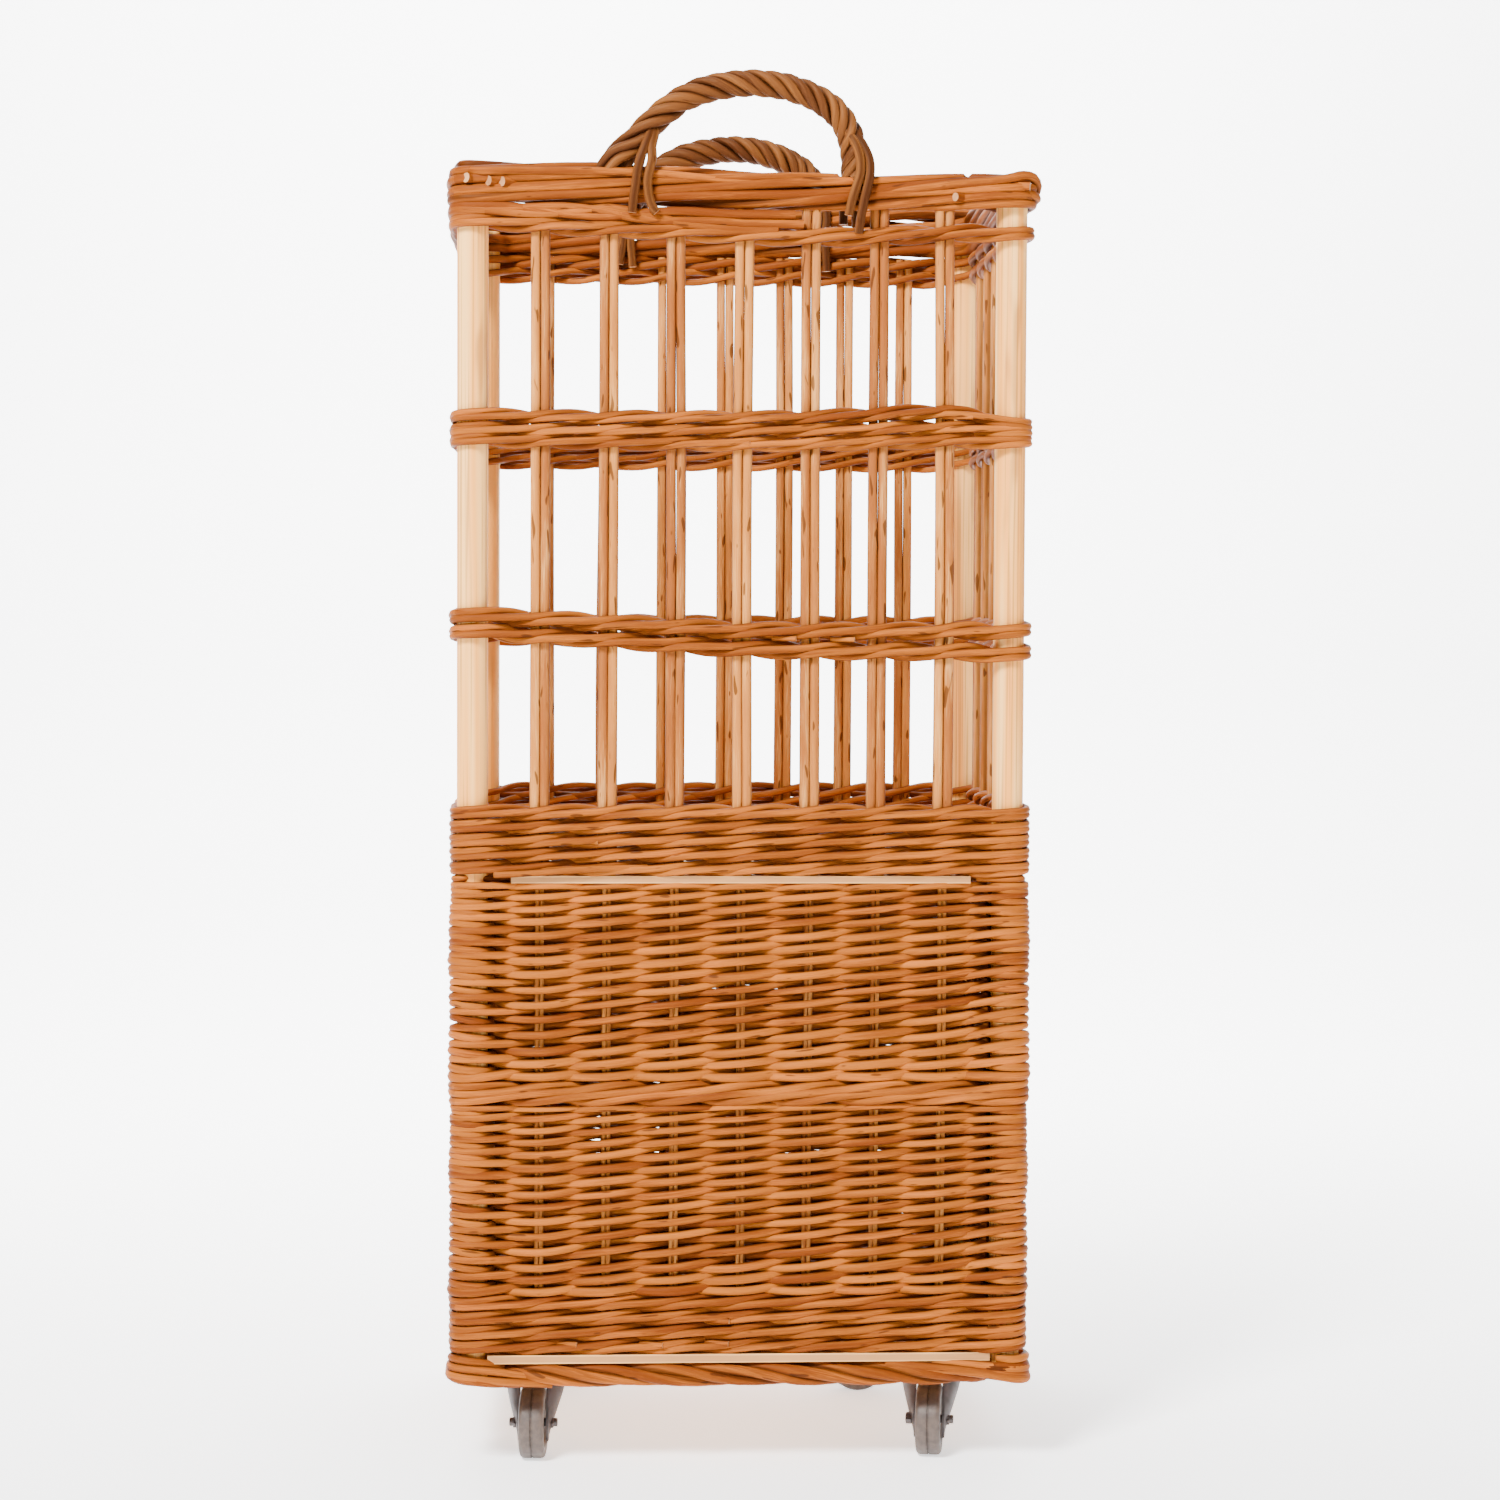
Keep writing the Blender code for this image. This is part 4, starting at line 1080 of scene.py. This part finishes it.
class BASKET_OT_casters(BasketOperator, bpy.types.Operator):
    """Make the four swivel casters: plate and race, pressed fork, axle bolt and wheel"""

    bl_idname = "basket.casters"
    bl_label = "Casters"

    def make_pieces(self, s):
        for place in CASTERS:
            axes = CasterFrame(place)
            square, rounding, plate_low = 21.0, 4.0, 72.2 * MM
            plate_high = span(f"{place}_caster_plate")[1][2]
            corner = np.radians(np.arange(0, 91, 30))
            outline = np.concatenate([np.stack([
                sx * (square - rounding) + rounding * np.cos(corner + start),
                sy * (square - rounding) + rounding * np.sin(corner + start),
            ], -1) for sx, sy, start in ((1, 1, 0), (-1, 1, math.pi / 2), (-1, -1, math.pi),
                                         (1, -1, math.pi * 1.5))])
            rings = np.zeros((2, len(outline), 3))
            rings[..., :2] = outline * MM
            rings[..., 2] = np.array([plate_low, plate_high])[:, None]
            race = turned([(7.0, 68.5), (17.0, 68.5), (18.0, 69.1), (18.0, 69.9), (17.3, 70.3),
                           (17.3, 70.6), (18.4, 71.0), (18.4, 72.2), (7.0, 72.2)])
            kingpin = turned([(3.0, 63.6), (5.0, 64.0), (5.4, 65.0), (5.4, 66.0), (3.4, 66.2),
                              (3.4, 72.3)])
            head = turned([(1.5, 70.2), (3.0, 70.5), (3.6, 71.2), (3.6, 72.25)], 20)
            heads = [head + axes.origin + np.array([sx * 15.6, sy * 15.6, 0]) * MM
                     for sx in (-1, 1) for sy in (-1, 1)]
            shells = [rings + axes.origin, race + axes.origin, kingpin + axes.origin, *heads]
            build_piece(place, "top_plate", "plate", "basket", shells)

            build_piece(place, "pressed_fork", "fork", f"{place}_fork", [axes.put(fork_rings())],
                        crease=40)

            shaft = [(0.8, -17.0), (2.6, -17.0), (3.0, -16.6), (3.0, 16.6), (2.6, 17.0), (0.8, 17.0)]
            shells = [axes.on_axle(turned(shaft, 24))]
            for way, end in ((-1, 16.8 if place == "front_right" else 14.6), (1, 14.4)):
                nut = turned([(3.8, 12.3), (4.3, 12.8), (4.3, end - 0.6), (3.6, end)], 6)
                shells.append(axes.on_axle(nut if way > 0 else (nut * [1, 1, -1])[::-1]))
            build_piece(place, "axle_bolt", "axle", f"{place}_fork", shells)

            section = wheel_profile(25.0, 8.8)
            soil = [max(0.0, 1 - abs(aside) / 1.8) * (out > 20) for out, aside in section]
            build_piece(place, "turned_wheel", "wheel", f"{place}_wheel",
                        [axes.on_axle(turned(section, 64))], ("tread",), tone=soil, closed=True)


class BASKET_OT_stage(BasketOperator, bpy.types.Operator):
    """Lay the floor, hang the studio lights and set up the camera"""

    bl_idname = "basket.stage"
    bl_label = "Stage"
    settings = "basket_stage"

    def make_pieces(self, s):
        scene = bpy.context.scene
        camera = bpy.data.objects.new("camera", bpy.data.cameras.new("camera"))
        camera.data.lens = s.lens
        camera.data.sensor_width = 36
        camera.location = s.eye
        heading = Matrix.Rotation(-s.yaw, 4, "Z") @ Matrix.Rotation(math.pi / 2 + s.pitch, 4, "X")
        camera.rotation_euler = (heading @ Matrix.Rotation(s.roll, 4, "Z")).to_euler()
        scene.collection.objects.link(camera)
        scene.camera = camera

        backdrop = Finish("backdrop")
        backdrop.set(Base_Color=(0.93, 0.93, 0.93, 1), Roughness=0.9,
                     Emission_Color=(1, 1, 1, 1), Emission_Strength=1.25)
        lines = np.array([(-7.0, 0.0), (2.2, 0.0), (2.9, 0.12), (3.4, 0.5), (3.6, 1.1), (3.65, 5.0)])
        mesh = bpy.data.meshes.new("backdrop")
        points = [(x, y, z) for y, z in lines for x in (-8.0, 8.0)]
        faces = [(2 * i, 2 * i + 1, 2 * i + 3, 2 * i + 2) for i in range(len(lines) - 1)]
        mesh.from_pydata(points, [], faces)
        mesh.shade_smooth()
        mesh.materials.append(backdrop.material)
        floor = bpy.data.objects.new("backdrop", mesh)
        scene.collection.objects.link(floor)

        for name, place, aim, size, power in (
                ("key", (-1.3, -2.2, 2.7), (0, 0, 0.5), 0.8, 350),
                ("fill", (2.4, -2.2, 1.3), (0, 0, 0.45), 2.0, 32),
                ("top", (0.0, 0.3, 3.0), (0, 0, 0.5), 2.4, 40),
                ("back", (0.0, 1.6, 2.6), (0, 3.6, 0.9), 3.0, 520)):
            lamp = bpy.data.lights.new(name, "AREA")
            lamp.energy, lamp.size = power, size
            lamp_object = bpy.data.objects.new(name, lamp)
            lamp_object.location = place
            way = np.array(aim, float) - place
            lamp_object.rotation_euler = (math.atan2(math.hypot(way[0], way[1]), -way[2]), 0,
                                          math.atan2(-way[0], way[1]))
            scene.collection.objects.link(lamp_object)

        world = bpy.data.worlds.new("studio")
        world.use_nodes = True
        world.node_tree.nodes["Background"].inputs["Color"].default_value = (1, 1, 1, 1)
        world.node_tree.nodes["Background"].inputs["Strength"].default_value = 0.1
        scene.world = world


class BASKET_PT_sidebar(bpy.types.Panel):
    """Buttons for each group of pieces, with its settings"""

    bl_label = "Baguette basket"
    bl_idname = "BASKET_PT_sidebar"
    bl_space_type = "VIEW_3D"
    bl_region_type = "UI"
    bl_category = "Basket"

    def draw(self, context):
        for operator in STEPS:
            box = self.layout.box()
            box.operator(operator.bl_idname)
            if operator.settings:
                group = getattr(context.scene, operator.settings)
                for name in SETTINGS[operator.settings].__annotations__:
                    box.prop(group, name)


SETTINGS = {
    "basket_randing": RandingSettings,
    "basket_borders": BorderSettings,
    "basket_handles": HandleSettings,
    "basket_stakes": StakeSettings,
    "basket_stage": StageSettings,
}
STEPS = (BASKET_OT_frame, BASKET_OT_stakes, BASKET_OT_randing, BASKET_OT_bands, BASKET_OT_borders,
         BASKET_OT_handles, BASKET_OT_casters, BASKET_OT_stage)


def register():
    for name, group in SETTINGS.items():
        bpy.utils.register_class(group)
        setattr(bpy.types.Scene, name, bpy.props.PointerProperty(type=group))
    for operator in STEPS:
        bpy.utils.register_class(operator)
    bpy.utils.register_class(BASKET_PT_sidebar)


def unregister():
    bpy.utils.unregister_class(BASKET_PT_sidebar)
    for operator in reversed(STEPS):
        bpy.utils.unregister_class(operator)
    for name, group in SETTINGS.items():
        delattr(bpy.types.Scene, name)
        bpy.utils.unregister_class(group)


def main():
    register()
    bpy.ops.basket.frame()
    bpy.ops.basket.stakes()
    bpy.ops.basket.randing()
    bpy.ops.basket.bands()
    bpy.ops.basket.borders()
    bpy.ops.basket.handles()
    bpy.ops.basket.casters()
    bpy.ops.basket.stage()


if __name__ == "__main__":
    main()
